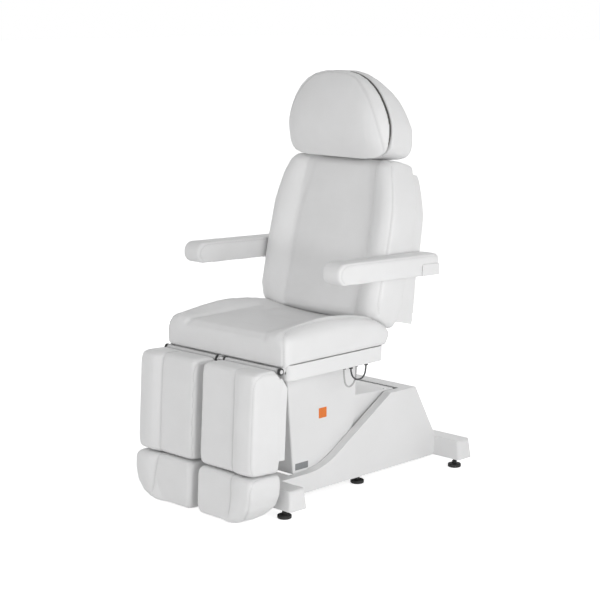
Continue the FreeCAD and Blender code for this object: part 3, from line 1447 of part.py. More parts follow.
def leg_shell(name, side):
    piece = Piece("leg_shell_" + name)
    front = at.leg_rear + at.fix_clearance
    rear = at.leg_shell_rear
    knee = blend(front, rear, 0.22)
    low, high = sided(at.leg_inner_x + at.leg_shell_inset, leg_outer_x - at.leg_shell_inset,
                      side)
    piece.prism("X", low, high, [
        (front, at.leg_shell_low), (rear, at.leg_shell_low), (rear, at.leg_shell_shoulder),
        (knee, at.leg_shell_top), (front, at.leg_shell_top)])
    piece.round_edges(at.tray_edge, lambda edge, middle: near(middle.y, at.leg_shell_rear)
                      and along(edge, "Z"))
    piece.hollowed(at.leg_shell_wall, lambda face, middle: near(middle.y, front))
    for place in (at.foot_bar_inner_x, at.foot_bar_outer_x):
        piece.rod("Z", at.leg_shell_low - at.leg_shell_wall,
                  at.leg_shell_low + at.leg_shell_wall * 2, (place * side, at.foot_bar_y),
                  at.foot_bar_radius + at.frame_play, cut=True)
    for share in LEG_RAIL_SHARES:
        middle = blend(at.leg_inner_x, leg_outer_x, share)
        reach = at.leg_rail_width / 2 + at.frame_play
        first, last = sided(middle - reach, middle + reach, side)
        piece.block((first, front - at.cover_wall, at.leg_shell_shoulder),
                    (last, at.leg_rear + at.cover_wall * 2 + at.sleeve_radius,
                     at.leg_shell_top + at.cover_wall), cut=True)
    piece.placed(leg_place, at.leg_hang_angle)


def foot_bars(name, side):
    """Two sliding bars with the plate that carries the foot cushion."""
    piece = Piece("foot_bars_" + name)
    plate_low = blend(at.foot_top, at.foot_low, 0.52)
    for place in (at.foot_bar_inner_x, at.foot_bar_outer_x):
        piece.rod("Z", plate_low, at.foot_bar_top, (place * side, at.foot_bar_y),
                  at.foot_bar_radius)
    low, high = sided(at.foot_bar_inner_x - at.foot_plate_reach,
                      at.foot_bar_outer_x + at.foot_plate_reach, side)
    piece.block((low, at.foot_rear, plate_low),
                (high, at.foot_rear + at.foot_plate_thickness,
                 at.foot_top - at.foot_plate_thickness))
    piece.placed(leg_place, at.leg_hang_angle)


# Soft forms: each cushion is a skin drawn through closed outlines.
def outline_wire(axis, place, points):
    """A closed wire across an axis. A point with a third word, arc, is the middle of an arc."""
    def in_space(point):
        u, v = point[0], point[1]
        return {"X": FreeCAD.Vector(place, u, v), "Y": FreeCAD.Vector(u, place, v),
                "Z": FreeCAD.Vector(u, v, place)}[axis]
    corners = [index for index, point in enumerate(points) if len(point) == 2]
    edges = []
    for this, after in zip(corners, corners[1:] + corners[:1]):
        first, last = in_space(points[this]), in_space(points[after])
        middle = points[(this + 1) % len(points)]
        if len(middle) == 3:
            edges.append(Part.Arc(first, in_space(middle), last).toShape())
        else:
            edges.append(Part.LineSegment(first, last).toShape())
    return Part.Wire(edges)


def lofted(axis, sections, ruled=True):
    wires = [outline_wire(axis, place, points) for place, points in sections]
    solid = Part.makeLoft(wires, True, ruled)
    if solid.Volume < 0:
        solid.reverse()
    return solid


def box_between(low, high):
    size = [b - a for a, b in zip(low, high)]
    return Part.makeBox(size[0], size[1], size[2], FreeCAD.Vector(*low))


def on_side(shape, side):
    if side > 0:
        return shape
    return shape.mirror(FreeCAD.Vector(0, 0, 0), FreeCAD.Vector(1, 0, 0))


def two_sided(stations):
    """Stations from the middle outwards, repeated on both sides in order across."""
    mirrored = [(-station[0],) + tuple(station[1:]) for station in reversed(stations)]
    return mirrored + [station for station in stations if station[0] > 0]


def seat_cushion():
    """A dished middle between two bolsters, with a rear edge that tucks under the back."""
    foot = mm.tray_top + mm.cushion_gap
    front, rear = mm.seat_cushion_front, mm.seat_cushion_rear
    half = mm.seat_half_width
    corner = mm.seat_bulge * 2
    # Each station: place across, share of the bolster's rise, drop of the top, inset.
    stations = two_sided([
        (mm.seat_panel_half * 0.45, 0.02, 0, 0), (mm.seat_panel_half * 0.9, 0.12, 0, 0),
        (mm.seat_bolster_x, 1, 0, 0), (half * 0.95, 0.72, mm.seat_bulge, 0),
        (half, 0.45, corner * 1.2, corner / 2), (half + mm.seat_bulge, 0, corner * 2.2, corner)])
    sections = []
    for place, rise, drop, inset in stations:
        end = inset > corner * 0.9
        low = foot + (corner if end else 0)
        crest = mm.seat_panel_z + (mm.seat_crest_z - mm.seat_panel_z) * rise - drop
        lip = mm.seat_front_crest_z + mm.seat_bulge * 2 * rise - drop
        first = front + inset + (corner if end else 0)
        last = rear - inset
        tuck_y = mm.back_pivot_y - mm.back_rail_x * (0.5 + 0.2 * rise)
        tuck_z = mm.seat_panel_z - mm.cover_wall * 2 + mm.seat_crest_z * 0.036 * rise - drop
        back_z = mm.back_pivot_z + mm.back_low_rear - mm.cover_wall - drop / 2
        round_front = mm.arm_end_height
        sections.append((place, [
            (first, low), (first, lip - round_front),
            (first + round_front * 0.27, lip - round_front * 0.27, "arc"),
            (first + round_front, lip),
            ((first + tuck_y) / 2 + round_front * rise, crest, "arc"),
            (tuck_y, tuck_z),
            ((tuck_y + last) / 2 + mm.cover_wall * 1.5,
             (tuck_z + back_z) / 2 + mm.cover_wall * 0.7, "arc"),
            (last, back_z), (last - mm.back_edge_round, low)]))
    return soft_form("seat_cushion", lofted("X", sections))


def backrest_cushion():
    """Wide wings round a sunk middle panel, with a channel behind for the headrest posts."""
    front, rear = mm.back_front, mm.back_rear
    deep = rear - front
    span = mm.back_top_front - mm.back_low_front
    # Each station: height, half width, share of the full depth, share of the panel's sink.
    stations = [
        (mm.back_low_rear - mm.cover_wall, mm.back_half_low - mm.back_edge_round, 0.27, 0.1),
        (mm.back_low_front * 0.75, mm.back_half_low - mm.cover_wall, 0.59, 0.25),
        (mm.back_low_front, mm.back_half_low, 0.8, 0.5),
        (mm.back_low_front + mm.back_edge_round, mm.back_half_low + mm.cover_wall, 0.93, 0.75),
        (mm.back_hip_z, mm.back_half_hip, 1, 1), (mm.back_waist_z, mm.back_half_waist, 1, 1),
        (mm.back_chest_z, mm.back_half_chest, 1, 1),
        (mm.back_low_front + span * 0.87, mm.back_half_top + mm.back_edge_round * 1.4, 1, 1),
        (mm.back_top_front - mm.back_edge_round, mm.back_half_top + mm.back_edge_round * 0.4,
         0.97, 0.8),
        (mm.back_top_front, mm.back_half_top - mm.cover_wall, 0.84, 0.4),
        (mm.back_top_rear - mm.cover_wall, mm.back_half_top - mm.back_edge_round * 1.4, 0.5, 0.2)]
    sections = []
    for height, half, depth_share, sink_share in stations:
        edge = rear - deep * depth_share
        sink = mm.back_panel_sink * sink_share
        panel = mm.back_half_top * 0.78 - abs(height - mm.back_waist_z) * 0.07
        round_side = min(mm.back_edge_round * 1.1, deep * depth_share * 0.4)
        wing = (half + panel) / 2 + mm.cover_wall
        sections.append((height, [
            (-half, rear), (-half, edge + round_side), (-wing, edge - 1, "arc"),
            (-panel, edge + sink), (0, edge + sink * 0.7, "arc"), (panel, edge + sink),
            (wing, edge - 1, "arc"), (half, edge + round_side), (half, rear)]))
    solid = lofted("Z", sections)
    reach = mm.guide_radius + mm.cover_wall + 1
    for name, side in SIDES:
        middle = mm.post_x * side
        channel = box_between(
            (middle - reach, mm.post_depth - reach, mm.back_waist_z),
            (middle + reach, rear + reach, mm.back_top_rear + reach))
        solid = solid.cut(channel)
    return soft_form("backrest_cushion", solid, back_place, at.back_angle)


OUTLINE_TOP_POWERS = (2.7, 1.5)
OUTLINE_FOOT_POWERS = (8, 1.6)


def head_reach(place, up):
    """Top or bottom edge of the headrest at a place across it."""
    share = min(1.0, abs(place) / mm.head_half_width)
    power, root = OUTLINE_TOP_POWERS if up else OUTLINE_FOOT_POWERS
    bow = (1 - share ** power) ** (1 / root)
    goal = mm.head_top_z if up else mm.head_foot_z
    return mm.head_widest_z + (goal - mm.head_widest_z) * bow


HEAD_SHARES = (0.2, 0.4, 0.56, 0.7, 0.8, 0.87, 0.92, 0.955, 0.98, 0.993)


def head_stations():
    """Places across the headrest, with their share of its half width, foot and top."""
    return [(place, abs(place) / mm.head_half_width, head_reach(place, False),
             head_reach(place, True))
            for (place,) in two_sided([(mm.head_half_width * share,)
                                       for share in HEAD_SHARES])]


def headrest_front_pad():
    """Flat against the board, its free face curving back to the board at both sides."""
    plane = mm.head_split_y - mm.fix_clearance
    full = mm.head_front_side + mm.head_front_crown
    sections = []
    for place, share, low, high in head_stations():
        depth = full * (1 - share ** 6) ** 0.8
        edge = depth * 0.36
        middle = low + (high - low) * 0.54
        sections.append((place, [
            (plane, low), (plane, high), (plane - edge, high), (plane - depth, middle, "arc"),
            (plane - edge, low)]))
    return soft_form("headrest_front_pad", lofted("X", sections))


def headrest_rear_pad():
    """Deep and square at its foot, sloping down from the top towards the rear."""
    plane = mm.head_split_y + mm.head_board_thickness + mm.fix_clearance
    sections = []
    for place, share, low, high in head_stations():
        depth = mm.head_rear_depth * (1 - 0.07 * share ** 8)
        rim = min(mm.head_edge_round, (high - low) * 0.2)
        tall = high - low
        foot = low - depth * 0.1
        far = plane + depth
        sections.append((place, [
            (plane, low), (plane, high), (plane + depth * 0.3, high),
            (plane + depth * 0.8, high - tall * 0.14, "arc"), (far, high - tall * 0.46),
            (far, foot + rim), (far - rim * 0.29, foot + rim * 0.29, "arc"),
            (far - rim, foot + rim * 0.1)]))
    reach = mm.post_x + mm.head_tube_radius * 2.5
    pocket = box_between(
        (-reach, plane - mm.head_edge_round, mm.head_foot_z - mm.head_edge_round * 2),
        (reach, mm.head_pivot_y + mm.head_tube_radius * 2, mm.head_pivot_z
         + mm.head_tube_radius * 3))
    return soft_form("headrest_rear_pad", lofted("X", sections).cut(pocket))


def headrest_plate():
    """The dark board between the pads, with two ears that turn on the headrest tube."""
    shares = (0, 0.3, 0.55, 0.76, 0.89, 0.97)
    scale = 1 - mm.head_board_inset / mm.head_half_width
    centre = (mm.head_foot_z + mm.head_top_z) / 2
    points = []
    for up, order in ((True, shares), (False, shares)):
        places = [mm.head_half_width * share for share in order]
        places = [-place for place in reversed(places[1:])] + places
        places = places if up else list(reversed(places))
        for place in places:
            height = centre + (head_reach(place, up) - centre) * scale
            points.append(FreeCAD.Vector(place * scale, mm.head_split_y, height))
    curve = Part.BSplineCurve()
    curve.interpolate(points, PeriodicFlag=True)
    face = Part.Face(Part.Wire([curve.toShape()]))
    board = face.extrude(FreeCAD.Vector(0, mm.head_board_thickness, 0))
    rear = mm.head_split_y + mm.head_board_thickness
    ear = mm.head_tube_radius * 1.5
    inner = mm.post_x * 0.6
    for name, side in SIDES:
        low, high = (inner, inner + mm.head_board_thickness)
        if side < 0:
            low, high = -high, -low
        cheek = box_between((low, rear - mm.cover_wall, mm.head_pivot_z - ear * 0.6),
                            (high, mm.head_pivot_y, mm.head_pivot_z + ear * 1.6))
        nose = Part.makeCylinder(ear, high - low, FreeCAD.Vector(
            low, mm.head_pivot_y, mm.head_pivot_z), FreeCAD.Vector(1, 0, 0))
        board = board.fuse(cheek).fuse(nose)
    hole = Part.makeCylinder(
        mm.head_tube_radius + mm.pin_clearance, mm.head_half_width * 2,
        FreeCAD.Vector(-mm.head_half_width, mm.head_pivot_y, mm.head_pivot_z),
        FreeCAD.Vector(1, 0, 0))
    return soft_form("headrest_plate", board.cut(hole).removeSplitter())


def armrest_pad(name, side):
    """A crowned pad with a round nose, over its board and over the hinge block."""
    low = mm.arm_foot + mm.fix_clearance
    high = mm.arm_top
    wide = mm.arm_outer_x - mm.arm_inner_x
    rim = mm.arm_round / 2
    nose = (high - low) / 2
    # Each row: distance in from either side, and how far the outline is drawn in there.
    rows = [(0, rim), (rim * 0.3, rim * 0.29), (rim, 0)]
    stations = [(mm.arm_inner_x + away, pinch, mm.arm_crown) for away, pinch in rows]
    stations += [(mm.arm_inner_x + wide / 2, 0, 0)]
    stations += [(mm.arm_outer_x - away, pinch, mm.arm_crown)
                 for away, pinch in reversed(rows)]
    sections = []
    for place, pinch, fall in stations:
        front, rear = mm.arm_front + pinch, mm.arm_rear - pinch / 2
        top, foot = high - pinch - fall, low + pinch / 2
        middle = (top + foot) / 2
        sections.append((place, [
            (rear, foot), (rear, top - rim * 2), (rear - rim * 0.6, top - rim * 0.6, "arc"),
            (rear - rim * 2, top), (front + nose, top - mm.arm_crown),
            (front + nose * 0.27, middle + nose * 0.69, "arc"), (front, middle),
            (front + nose * 0.27, middle - nose * 0.69, "arc"), (front + nose, foot)]))
    solid = lofted("X", sections)
    gap = mm.fix_clearance
    block = box_between(
        (mm.arm_inner_x - rim, mm.arm_rear - mm.arm_end_length - gap, low - rim),
        (mm.arm_outer_x + rim, mm.arm_rear + rim * 2, mm.arm_foot + mm.arm_end_height + gap))
    board = box_between(
        (mm.arm_inner_x + mm.arm_board_inset - gap, mm.arm_front + mm.arm_board_front - gap,
         low - rim),
        (mm.arm_outer_x - mm.arm_board_inset + gap, mm.arm_rear,
         mm.arm_foot + mm.arm_core_height + gap))
    solid = on_side(solid.cut(block).cut(board), side)
    place = (ZERO, at.arm_pivot_y, at.arm_pivot_z)
    return soft_form("armrest_pad_" + name, solid, place, at.arm_rest_angle)


LEG_SEAM_SHARE = 0.61


def leg_sections(stations, front, rear_of, inner, outer_of, rear_round):
    """Sections of a leg or foot cushion: flat behind, a raised wing down its outer side."""
    sections = []
    rim = mm.leg_round
    for height, pinch in stations:
        inset = rim * pinch
        x0, x1 = inner + inset, outer_of(height) - inset
        y0, y1 = front + inset, rear_of(height)
        wing = y0 - mm.leg_wing_rise * (1 - pinch)
        valley = x0 + (x1 - x0) * LEG_SEAM_SHARE
        crest = valley + mm.leg_wing_run
        sections.append((height, [
            (x1, y1 - rear_round), (x1 - rear_round * 0.29, y1 - rear_round * 0.29, "arc"),
            (x1 - rear_round, y1), (x0, y1), (x0, y0 + rim * 0.7),
            (x0 + rim * 0.25, y0 + rim * 0.2, "arc"), (x0 + rim, y0), (valley, y0),
            (crest, wing), ((crest + x1 - rim) / 2, wing - rim * 0.1, "arc"),
            (x1 - rim, wing + 1), (x1 - rim * 0.25, wing + rim * 0.22, "arc"),
            (x1, wing + rim * 0.75)]))
    return sections


def leg_cushion(name, side):
    tall = mm.leg_top - mm.leg_low
    stations = [(mm.leg_low, 0.55), (mm.leg_low + mm.leg_round * 0.35, 0.12),
                (mm.leg_low + mm.leg_round * 1.3, 0), (mm.leg_low + tall / 2, 0),
                (mm.leg_top - mm.leg_round * 1.3, 0), (mm.leg_top - mm.leg_round * 0.35, 0.12),
                (mm.leg_top, 0.55)]
    solid = lofted("Z", leg_sections(
        stations, mm.leg_front, lambda height: mm.leg_rear, mm.leg_inner_x,
        lambda height: mm.seat_half_width - mm.leg_side_inset, mm.leg_round / 4))
    past = mm.leg_round * 2
    depth = mm.leg_rod_radius * 4.85
    notch = outline_wire("X", 0, [
        (mm.leg_rear, -depth), (mm.leg_rear - past / 2 - 1, -1),
        (mm.leg_rear - past / 2 - 1, past), (past, past), (past, -depth)])
    bite = Part.Face(notch).extrude(FreeCAD.Vector(mm.seat_half_width * 2, 0, 0))
    solid = on_side(solid.cut(bite), side)
    return soft_form("leg_cushion_" + name, solid, leg_place, at.leg_hang_angle)


def foot_cushion(name, side):
    """The foot section: its outer lower corner and its lower rear edge are well rounded."""
    top, low = mm.foot_top, mm.foot_low
    rear = mm.foot_rear - mm.fix_clearance

    def outer(height):
        share = max(0.0, (top - height) / (top - low) - 0.3) / 0.7
        return mm.seat_half_width - mm.leg_round * 3.2 * share ** 2.5

    def rear_face(height):
        share = max(0.0, (top - height) / (top - low) - 0.45) / 0.55
        return rear - mm.leg_round * 1.8 * share ** 2.2

    tall = top - low
    stations = [(low, 0.5), (low + tall * 0.04, 0.2), (low + tall * 0.16, 0.03),
                (low + tall * 0.36, 0), (low + tall * 0.6, 0), (top - tall * 0.14, 0),
                (top - tall * 0.05, 0.14), (top, 0.5)]
    solid = lofted("Z", leg_sections(stations, mm.foot_front, rear_face, mm.leg_inner_x,
                                     outer, mm.leg_round * 0.8))
    return soft_form("foot_cushion_" + name, on_side(solid, side), leg_place,
                     at.leg_hang_angle)


# Build every piece.
base_frame()
base_cover()
for foot_name, foot_place in zip(FOOT_NAMES, FOOT_PLACES):
    levelling_foot(foot_name, foot_place)
mains_inlet()
control_box()
rear_pivot_pins()
upper_lift_arm()
arm_lug_pin()
lift_arm_cover()
lower_lift_links()
lift_motor()
lift_rod()
carrier_frame()
front_pivot_pins()
tilt_pivot_pins()
lift_shroud()
tilt_motor()
tilt_rod()
seat_frame()
seat_tray()
seat_cushion()
recline_motor()
recline_rod()
back_hinge_pins()
leg_hinge_rod()
leg_ratchets()
cable_grommets()
cable("motor_cable", mm.seat_half_width - mm.motor_cable_inset, MOTOR_ROUTE)
cable("handset_cable", mm.seat_half_width - mm.handset_cable_inset, HANDSET_ROUTE)
backrest_frame()
backrest_shell()
backrest_cushion()
armrest_pivots()
headrest_guides()
headrest_bars()
headrest_plate()
headrest_front_pad()
headrest_rear_pad()
for side_name, side_sign in SIDES:
    armrest_core(side_name, side_sign)
    armrest_pad(side_name, side_sign)
    leg_frame(side_name, side_sign)
    leg_shell(side_name, side_sign)
    leg_cushion(side_name, side_sign)
    foot_bars(side_name, side_sign)
    foot_cushion(side_name, side_sign)
doc.recompute()

# Check every object and every shape, then write one file for each piece.
faults = []
for item in doc.Objects:
    if "Invalid" in item.State or "Error" in item.State:
        faults.append("%s is %s" % (item.Name, item.State))
for item in pieces:
    if item.Shape.isNull() or not item.Shape.isValid() or item.Shape.Volume <= 0:
        faults.append("%s has a bad shape" % item.Label)
if faults:
    raise RuntimeError("; ".join(faults))
os.makedirs("parts", exist_ok=True)
for item in pieces:
    item.Shape.exportStep("parts/%s.step" % item.Label)
    box = item.Shape.BoundBox
    print("%s: %d solid(s), x %.1f to %.1f, y %.1f to %.1f, z %.1f to %.1f" % (
        item.Label, len(item.Shape.Solids), box.XMin, box.XMax, box.YMin, box.YMax,
        box.ZMin, box.ZMax))
print("pieces:", len(pieces))
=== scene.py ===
# %% [markdown]
# # Podiatry chair in white leatherette
#
# A treatment chair stands on a low moulded base and carries a seat, a back, a split headrest,
# two armrests and two leg rests with sliding foot sections. Its rigid pieces come from the
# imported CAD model, which fixes every size and place. This lesson adds what that model lacks:
# padded cushions with seams and stitches, rounded mouldings, cables, small trim and finishes.
# Lengths are in metres. X runs across, the chair faces -Y, Z is up.

import json
import math
from collections import namedtuple

import bmesh
import bpy
import numpy as np
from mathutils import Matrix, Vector
from mathutils.bvhtree import BVHTree


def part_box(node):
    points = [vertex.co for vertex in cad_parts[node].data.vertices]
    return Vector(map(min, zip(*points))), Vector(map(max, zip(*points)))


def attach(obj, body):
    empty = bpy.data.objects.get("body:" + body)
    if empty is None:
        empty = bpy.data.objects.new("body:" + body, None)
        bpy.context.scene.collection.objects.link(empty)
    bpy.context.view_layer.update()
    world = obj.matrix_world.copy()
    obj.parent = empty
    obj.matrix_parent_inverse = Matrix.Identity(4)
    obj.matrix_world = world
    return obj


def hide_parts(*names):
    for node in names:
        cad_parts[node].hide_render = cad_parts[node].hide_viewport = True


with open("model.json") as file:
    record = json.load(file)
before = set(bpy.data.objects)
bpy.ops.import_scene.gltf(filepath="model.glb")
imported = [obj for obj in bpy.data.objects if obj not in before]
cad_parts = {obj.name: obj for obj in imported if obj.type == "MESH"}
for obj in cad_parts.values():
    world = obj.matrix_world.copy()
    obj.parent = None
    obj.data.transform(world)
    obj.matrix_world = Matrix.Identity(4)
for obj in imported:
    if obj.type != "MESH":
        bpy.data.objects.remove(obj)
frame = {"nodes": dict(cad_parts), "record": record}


def note_size():
    """Bring the view layer up to date."""
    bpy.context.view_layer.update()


note_size()

# %% [markdown]
# ## Camera
# The chair is seen from in front of its left corner, from well back through a long lens, so
# that its upright edges stay nearly parallel. A camera could be aimed with a constraint. Two
# plain angles, how far round and how far down, say the same and are easy to measure.

# %% Camera
CAMERA_PLACE = (3.992, -4.0905, 1.720)
CAMERA_TURN = 44.5
CAMERA_DOWN = 10.37
CAMERA_LENS = 97.0
CAMERA_SENSOR = 36
CAMERA_REACH = 200


def link(item):
    """Put an object in the scene."""
    bpy.context.scene.collection.objects.link(item)
    return item


def add_camera():
    """A camera turned about Z by CAMERA_TURN and tipped down by CAMERA_DOWN degrees."""
    lens = bpy.data.cameras.new("camera")
    lens.lens = CAMERA_LENS
    lens.sensor_width = CAMERA_SENSOR
    lens.clip_end = CAMERA_REACH
    camera = link(bpy.data.objects.new("camera", lens))
    camera.location = CAMERA_PLACE
    camera.rotation_euler = (math.radians(90 - CAMERA_DOWN), 0, math.radians(CAMERA_TURN))
    bpy.context.scene.camera = camera
    print("camera", CAMERA_LENS, "mm, turned", CAMERA_TURN, "and down", CAMERA_DOWN)


add_camera()

# %% [markdown]
# ## Cable loops
# Two thin cables hang below the left side of the seat tray, one dark and one pale. Each leaves
# a grommet, droops and goes back up into another. They could be drawn as arcs, but a real
# cable has no even arc: it bends most at its foot. So a few given points steer one smooth
# NURBS curve, and a round tube follows it. A route lists shares of the loop's size: how far
# back along the tray, and how far down from it.

# %% Cable loops
LOOP_SIZE = 0.078
TRAY_FOOT = 0.484
CABLE_THICKNESS = 0.006
MOTOR_RUNS = [(0, 0), (0, 0.34), (0.33, 0.66), (0.79, 0.65), (1, 0.34), (1, 0)]
HANDSET_RUNS = [(0, 0), (0, 0.66), (0.28, 0.97), (0.62, 0.87), (0.8, 0.53), (0.8, 0)]


def route_curve(name, points):
    """A NURBS curve of order 3 that starts and ends on its first and last point."""
    curve = bpy.data.curves.new(name + "_route", "CURVE")
    curve.dimensions = "3D"
    spline = curve.splines.new("NURBS")
    spline.points.add(len(points) - 1)
    for knot, point in zip(spline.points, points):
        knot.co = (*point, 1)
    spline.order_u = 3
    spline.use_endpoint_u = True
    spline.resolution_u = 12
    return curve


def cable_loop(name, node, plane, start, runs):
    """A tube of the real thickness along the route, in the upright plane x = plane."""
    points = [(plane, start + LOOP_SIZE * back, TRAY_FOOT - LOOP_SIZE * down)
              for back, down in runs]
    curve = route_curve(name, points)
    route = link(bpy.data.objects.new(name + "_route", curve))
    line = bpy.data.meshes.new_from_object(route)
    curve.bevel_depth = CABLE_THICKNESS / 2
    curve.bevel_resolution = 4
    curve.use_fill_caps = True
    graph = bpy.context.evaluated_depsgraph_get()
    mesh = bpy.data.meshes.new_from_object(route.evaluated_get(graph))
    bpy.data.objects.remove(route)
    mesh.name = name
    mesh.shade_smooth()
    cable = link(bpy.data.objects.new(name, mesh))
    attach(cable, "seat")
    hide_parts(node)
    return cable


motor_cable = cable_loop("motor_cable_loop", "motor_cable", 0.285, -0.067, MOTOR_RUNS)
handset_cable = cable_loop("handset_cable_loop", "handset_cable", 0.275, -0.091,
                           HANDSET_RUNS)

# %% [markdown]
# ## Shader sums
# A finish is a pattern of noise or cells that drives colour, gloss and bump. Wired node by
# node, its formula is hard to read. Here a `Level` stands for one number inside a shader
# graph and takes part in ordinary sums, so that a pattern is written as a short formula.
# Every other node comes from the one method `node`.


# %% Shader sums
class Graph:
    """A shader graph, with one method that adds, sets and feeds a node of any type."""

    def __init__(self, tree):
        self.tree = tree

    def node(self, kind, settings=None, **inputs):
        """Add a node: first its settings, then a value or a link for each of its sockets."""
        made = self.tree.nodes.new(kind)
        for name, value in (settings or {}).items():
            if name == "stops":
                set_stops(made.color_ramp.elements, value)
            else:
                setattr(made, name, value)
        for name, value in inputs.items():
            key = int(name[1:]) if name[1:].isdigit() else name.replace("_", " ")
            self.feed(made.inputs[key], value)
        return made

    def feed(self, socket, value):
        """Link a level or another node's socket, or write a plain value."""
        value = value.socket if isinstance(value, Level) else value
        if isinstance(value, bpy.types.NodeSocket):
            self.tree.links.new(value, socket)
        else:
            socket.default_value = value

    def maths(self, operation, first, second):
        """The Math node of one sum on two levels or numbers."""
        node = self.node("ShaderNodeMath", {"operation": operation}, _0=first, _1=second)
        return Level(self, node.outputs[0])

    def seen_directly(self, *rays):
        """1 where the ray that arrives is of one of these kinds, and else 0."""
        path = self.node("ShaderNodeLightPath")
        flags = [Level(self, path.outputs[ray]) for ray in rays]
        seen = flags[0]
        for flag in flags[1:]:
            seen = seen | flag
        return seen


class Level:
    """One number inside a shader graph that can be added, multiplied and smoothed."""

    def __init__(self, graph, socket):
        self.graph = graph
        self.socket = socket

    def __add__(self, other):
        return self.graph.maths("ADD", self, other)

    def __mul__(self, other):
        return self.graph.maths("MULTIPLY", self, other)

    def __or__(self, other):
        """The larger of the two, which joins two masks."""
        return self.graph.maths("MAXIMUM", self, other)

    __radd__ = __add__
    __rmul__ = __mul__
    __ror__ = __or__

    def smooth(self, low, high):
        """0 below low, 1 above high and a smooth rise between them."""
        node = self.graph.node("ShaderNodeMapRange", {"interpolation_type": "SMOOTHSTEP"},
                               Value=self, From_Min=low, From_Max=high)
        return Level(self.graph, node.outputs["Result"])


def set_stops(elements, stops):
    """Give a colour ramp its stops, each of them (position, (red, green, blue))."""
    while len(elements) < len(stops):
        elements.new(0.5)
    for element, (position, shade) in zip(elements, stops):
        element.position = position
        element.color = (*shade, 1)


def grey(level, blue=0.0):
    """A grey of this level, with a little more blue where it is cool."""
    return (level, level, level + blue)


# %% A finish
class Finish(Graph):
    """A material of one shader, whose patterns read the piece's own Object coordinates."""

    def __init__(self, name, roughness, metallic=0.0, coat=0.0, stretch=(1, 1, 1)):
        self.material = bpy.data.materials.new(name)
        self.material.use_nodes = True
        super().__init__(self.material.node_tree)
        self.shader = self.tree.nodes["Principled BSDF"]
        self.shader.inputs["Metallic"].default_value = metallic
        self.shader.inputs["Coat Weight"].default_value = coat
        self.shader.inputs["Roughness"].default_value = roughness
        place = self.node("ShaderNodeTexCoord").outputs["Object"]
        mapping = self.node("ShaderNodeMapping", Vector=place, Scale=stretch)
        self.place = mapping.outputs["Vector"]

    def noise(self, scale, detail):
        """Soft clouds from 0 to 1, scale of them to a metre."""
        node = self.node("ShaderNodeTexNoise", Vector=self.place, Scale=scale,
                         Detail=detail)
        return Level(self, node.outputs["Fac"])

    def cells(self, scale):
        """Distance to the nearest edge between cells, for a pebbled grain."""
        node = self.node("ShaderNodeTexVoronoi", {"feature": "DISTANCE_TO_EDGE"},
                         Vector=self.place, Scale=scale)
        return Level(self, node.outputs["Distance"])

    def colour(self, level, dark, light):
        """Base colour from dark, at a level of 0.3 or less, to light, at 0.7 or more."""
        ramp_node = self.node("ShaderNodeValToRGB", {"stops": ((0.3, dark), (0.7, light))},
                              Fac=level)
        self.feed(self.shader.inputs["Base Color"], ramp_node.outputs["Color"])

    def rough(self, level):
        """Roughness from a level, in place of the one even value."""
        self.feed(self.shader.inputs["Roughness"], level)

    def bumped(self, height, distance, strength=1.0):
        """Tilt the normal by the slope of a height that runs from 0 to 1."""
        bump = self.node("ShaderNodeBump", Height=height, Distance=distance,
                         Strength=strength)
        self.feed(self.shader.inputs["Normal"], bump.outputs["Normal"])


# %% [markdown]
# ## Leatherette and thread
# The cushions wear white artificial leather: pebbles of about 1.6 mm, a cloudy gloss, and the
# slight unevenness of the foam below. A photographed grain would need each cover laid out
# flat, so the grain is made of Voronoi cells in the space round the cover, where it can't
# stretch. The thread is a little darker than the cover, with a fine twist.


# %% Leatherette and thread
def leatherette():
    """Height = 0.05 * pebbles + foam clouds; roughness = 0.40 + 0.16 * cloud."""
    finish = Finish("white_leatherette", 0.5, coat=0.03)
    grain = finish.cells(620).smooth(0.0, 0.16)
    mottle = finish.noise(9, 3)
    finish.colour(mottle, grey(0.770), grey(0.800, 0.002))
    finish.rough(0.40 + 0.16 * mottle)
    finish.bumped(0.05 * grain + finish.noise(16, 2), 0.0016, 0.55)
    finish.shader.inputs["Sheen Weight"].default_value = 0.06
    finish.shader.inputs["Sheen Roughness"].default_value = 0.5
    return finish.material


def thread():
    """A twist of about a millimetre in both colour and height."""
    finish = Finish("white_thread", 0.6)
    twist = finish.noise(900, 1)
    finish.colour(twist, grey(0.60), grey(0.72))
    finish.bumped(twist, 0.0002)
    return finish.material


# %% [markdown]
# ## Plastics
# The covers are glossy white mouldings with a faint orange peel, which shows only where a
# light glides over them. One constant gloss looks like a drawing, so a broad cloud changes
# the roughness a little, as handling does. Small parts are dull, speckled plastic.


# %% Plastics
def moulding(name, level, roughness=0.3):
    """Roughness = base - 0.06 + 0.12 * cloud, under a thin clear coat."""
    finish = Finish(name, roughness, coat=0.12)
    cloud = finish.noise(5, 3)
    finish.colour(cloud, grey(level - 0.012), grey(level + 0.012, 0.002))
    finish.rough((roughness - 0.06) + 0.12 * cloud)
    finish.bumped(finish.noise(210, 2), 0.0002, 0.35)
    return finish.material


def dull_plastic(name, shade, roughness=0.6):
    """Specks down to 0.8 of the shade; roughness = base - 0.1 + 0.2 * cloud."""
    finish = Finish(name, roughness)
    speck = finish.noise(700, 2)
    finish.colour(speck, tuple(part * 0.8 for part in shade), shade)
    finish.rough((roughness - 0.1) + 0.2 * finish.noise(14, 2))
    finish.bumped(speck, 0.0001, 0.5)
    return finish.material


# %% [markdown]
# ## Steel, board and rubber
# Frames and arms are powder coated and slightly pebbled. Pins, posts and rods are bare steel
# with scratches across the chair, which are noise drawn out along X. The board between the
# head pads is dark stained plywood, whose grain is noise drawn out along Z. The feet are
# black rubber.


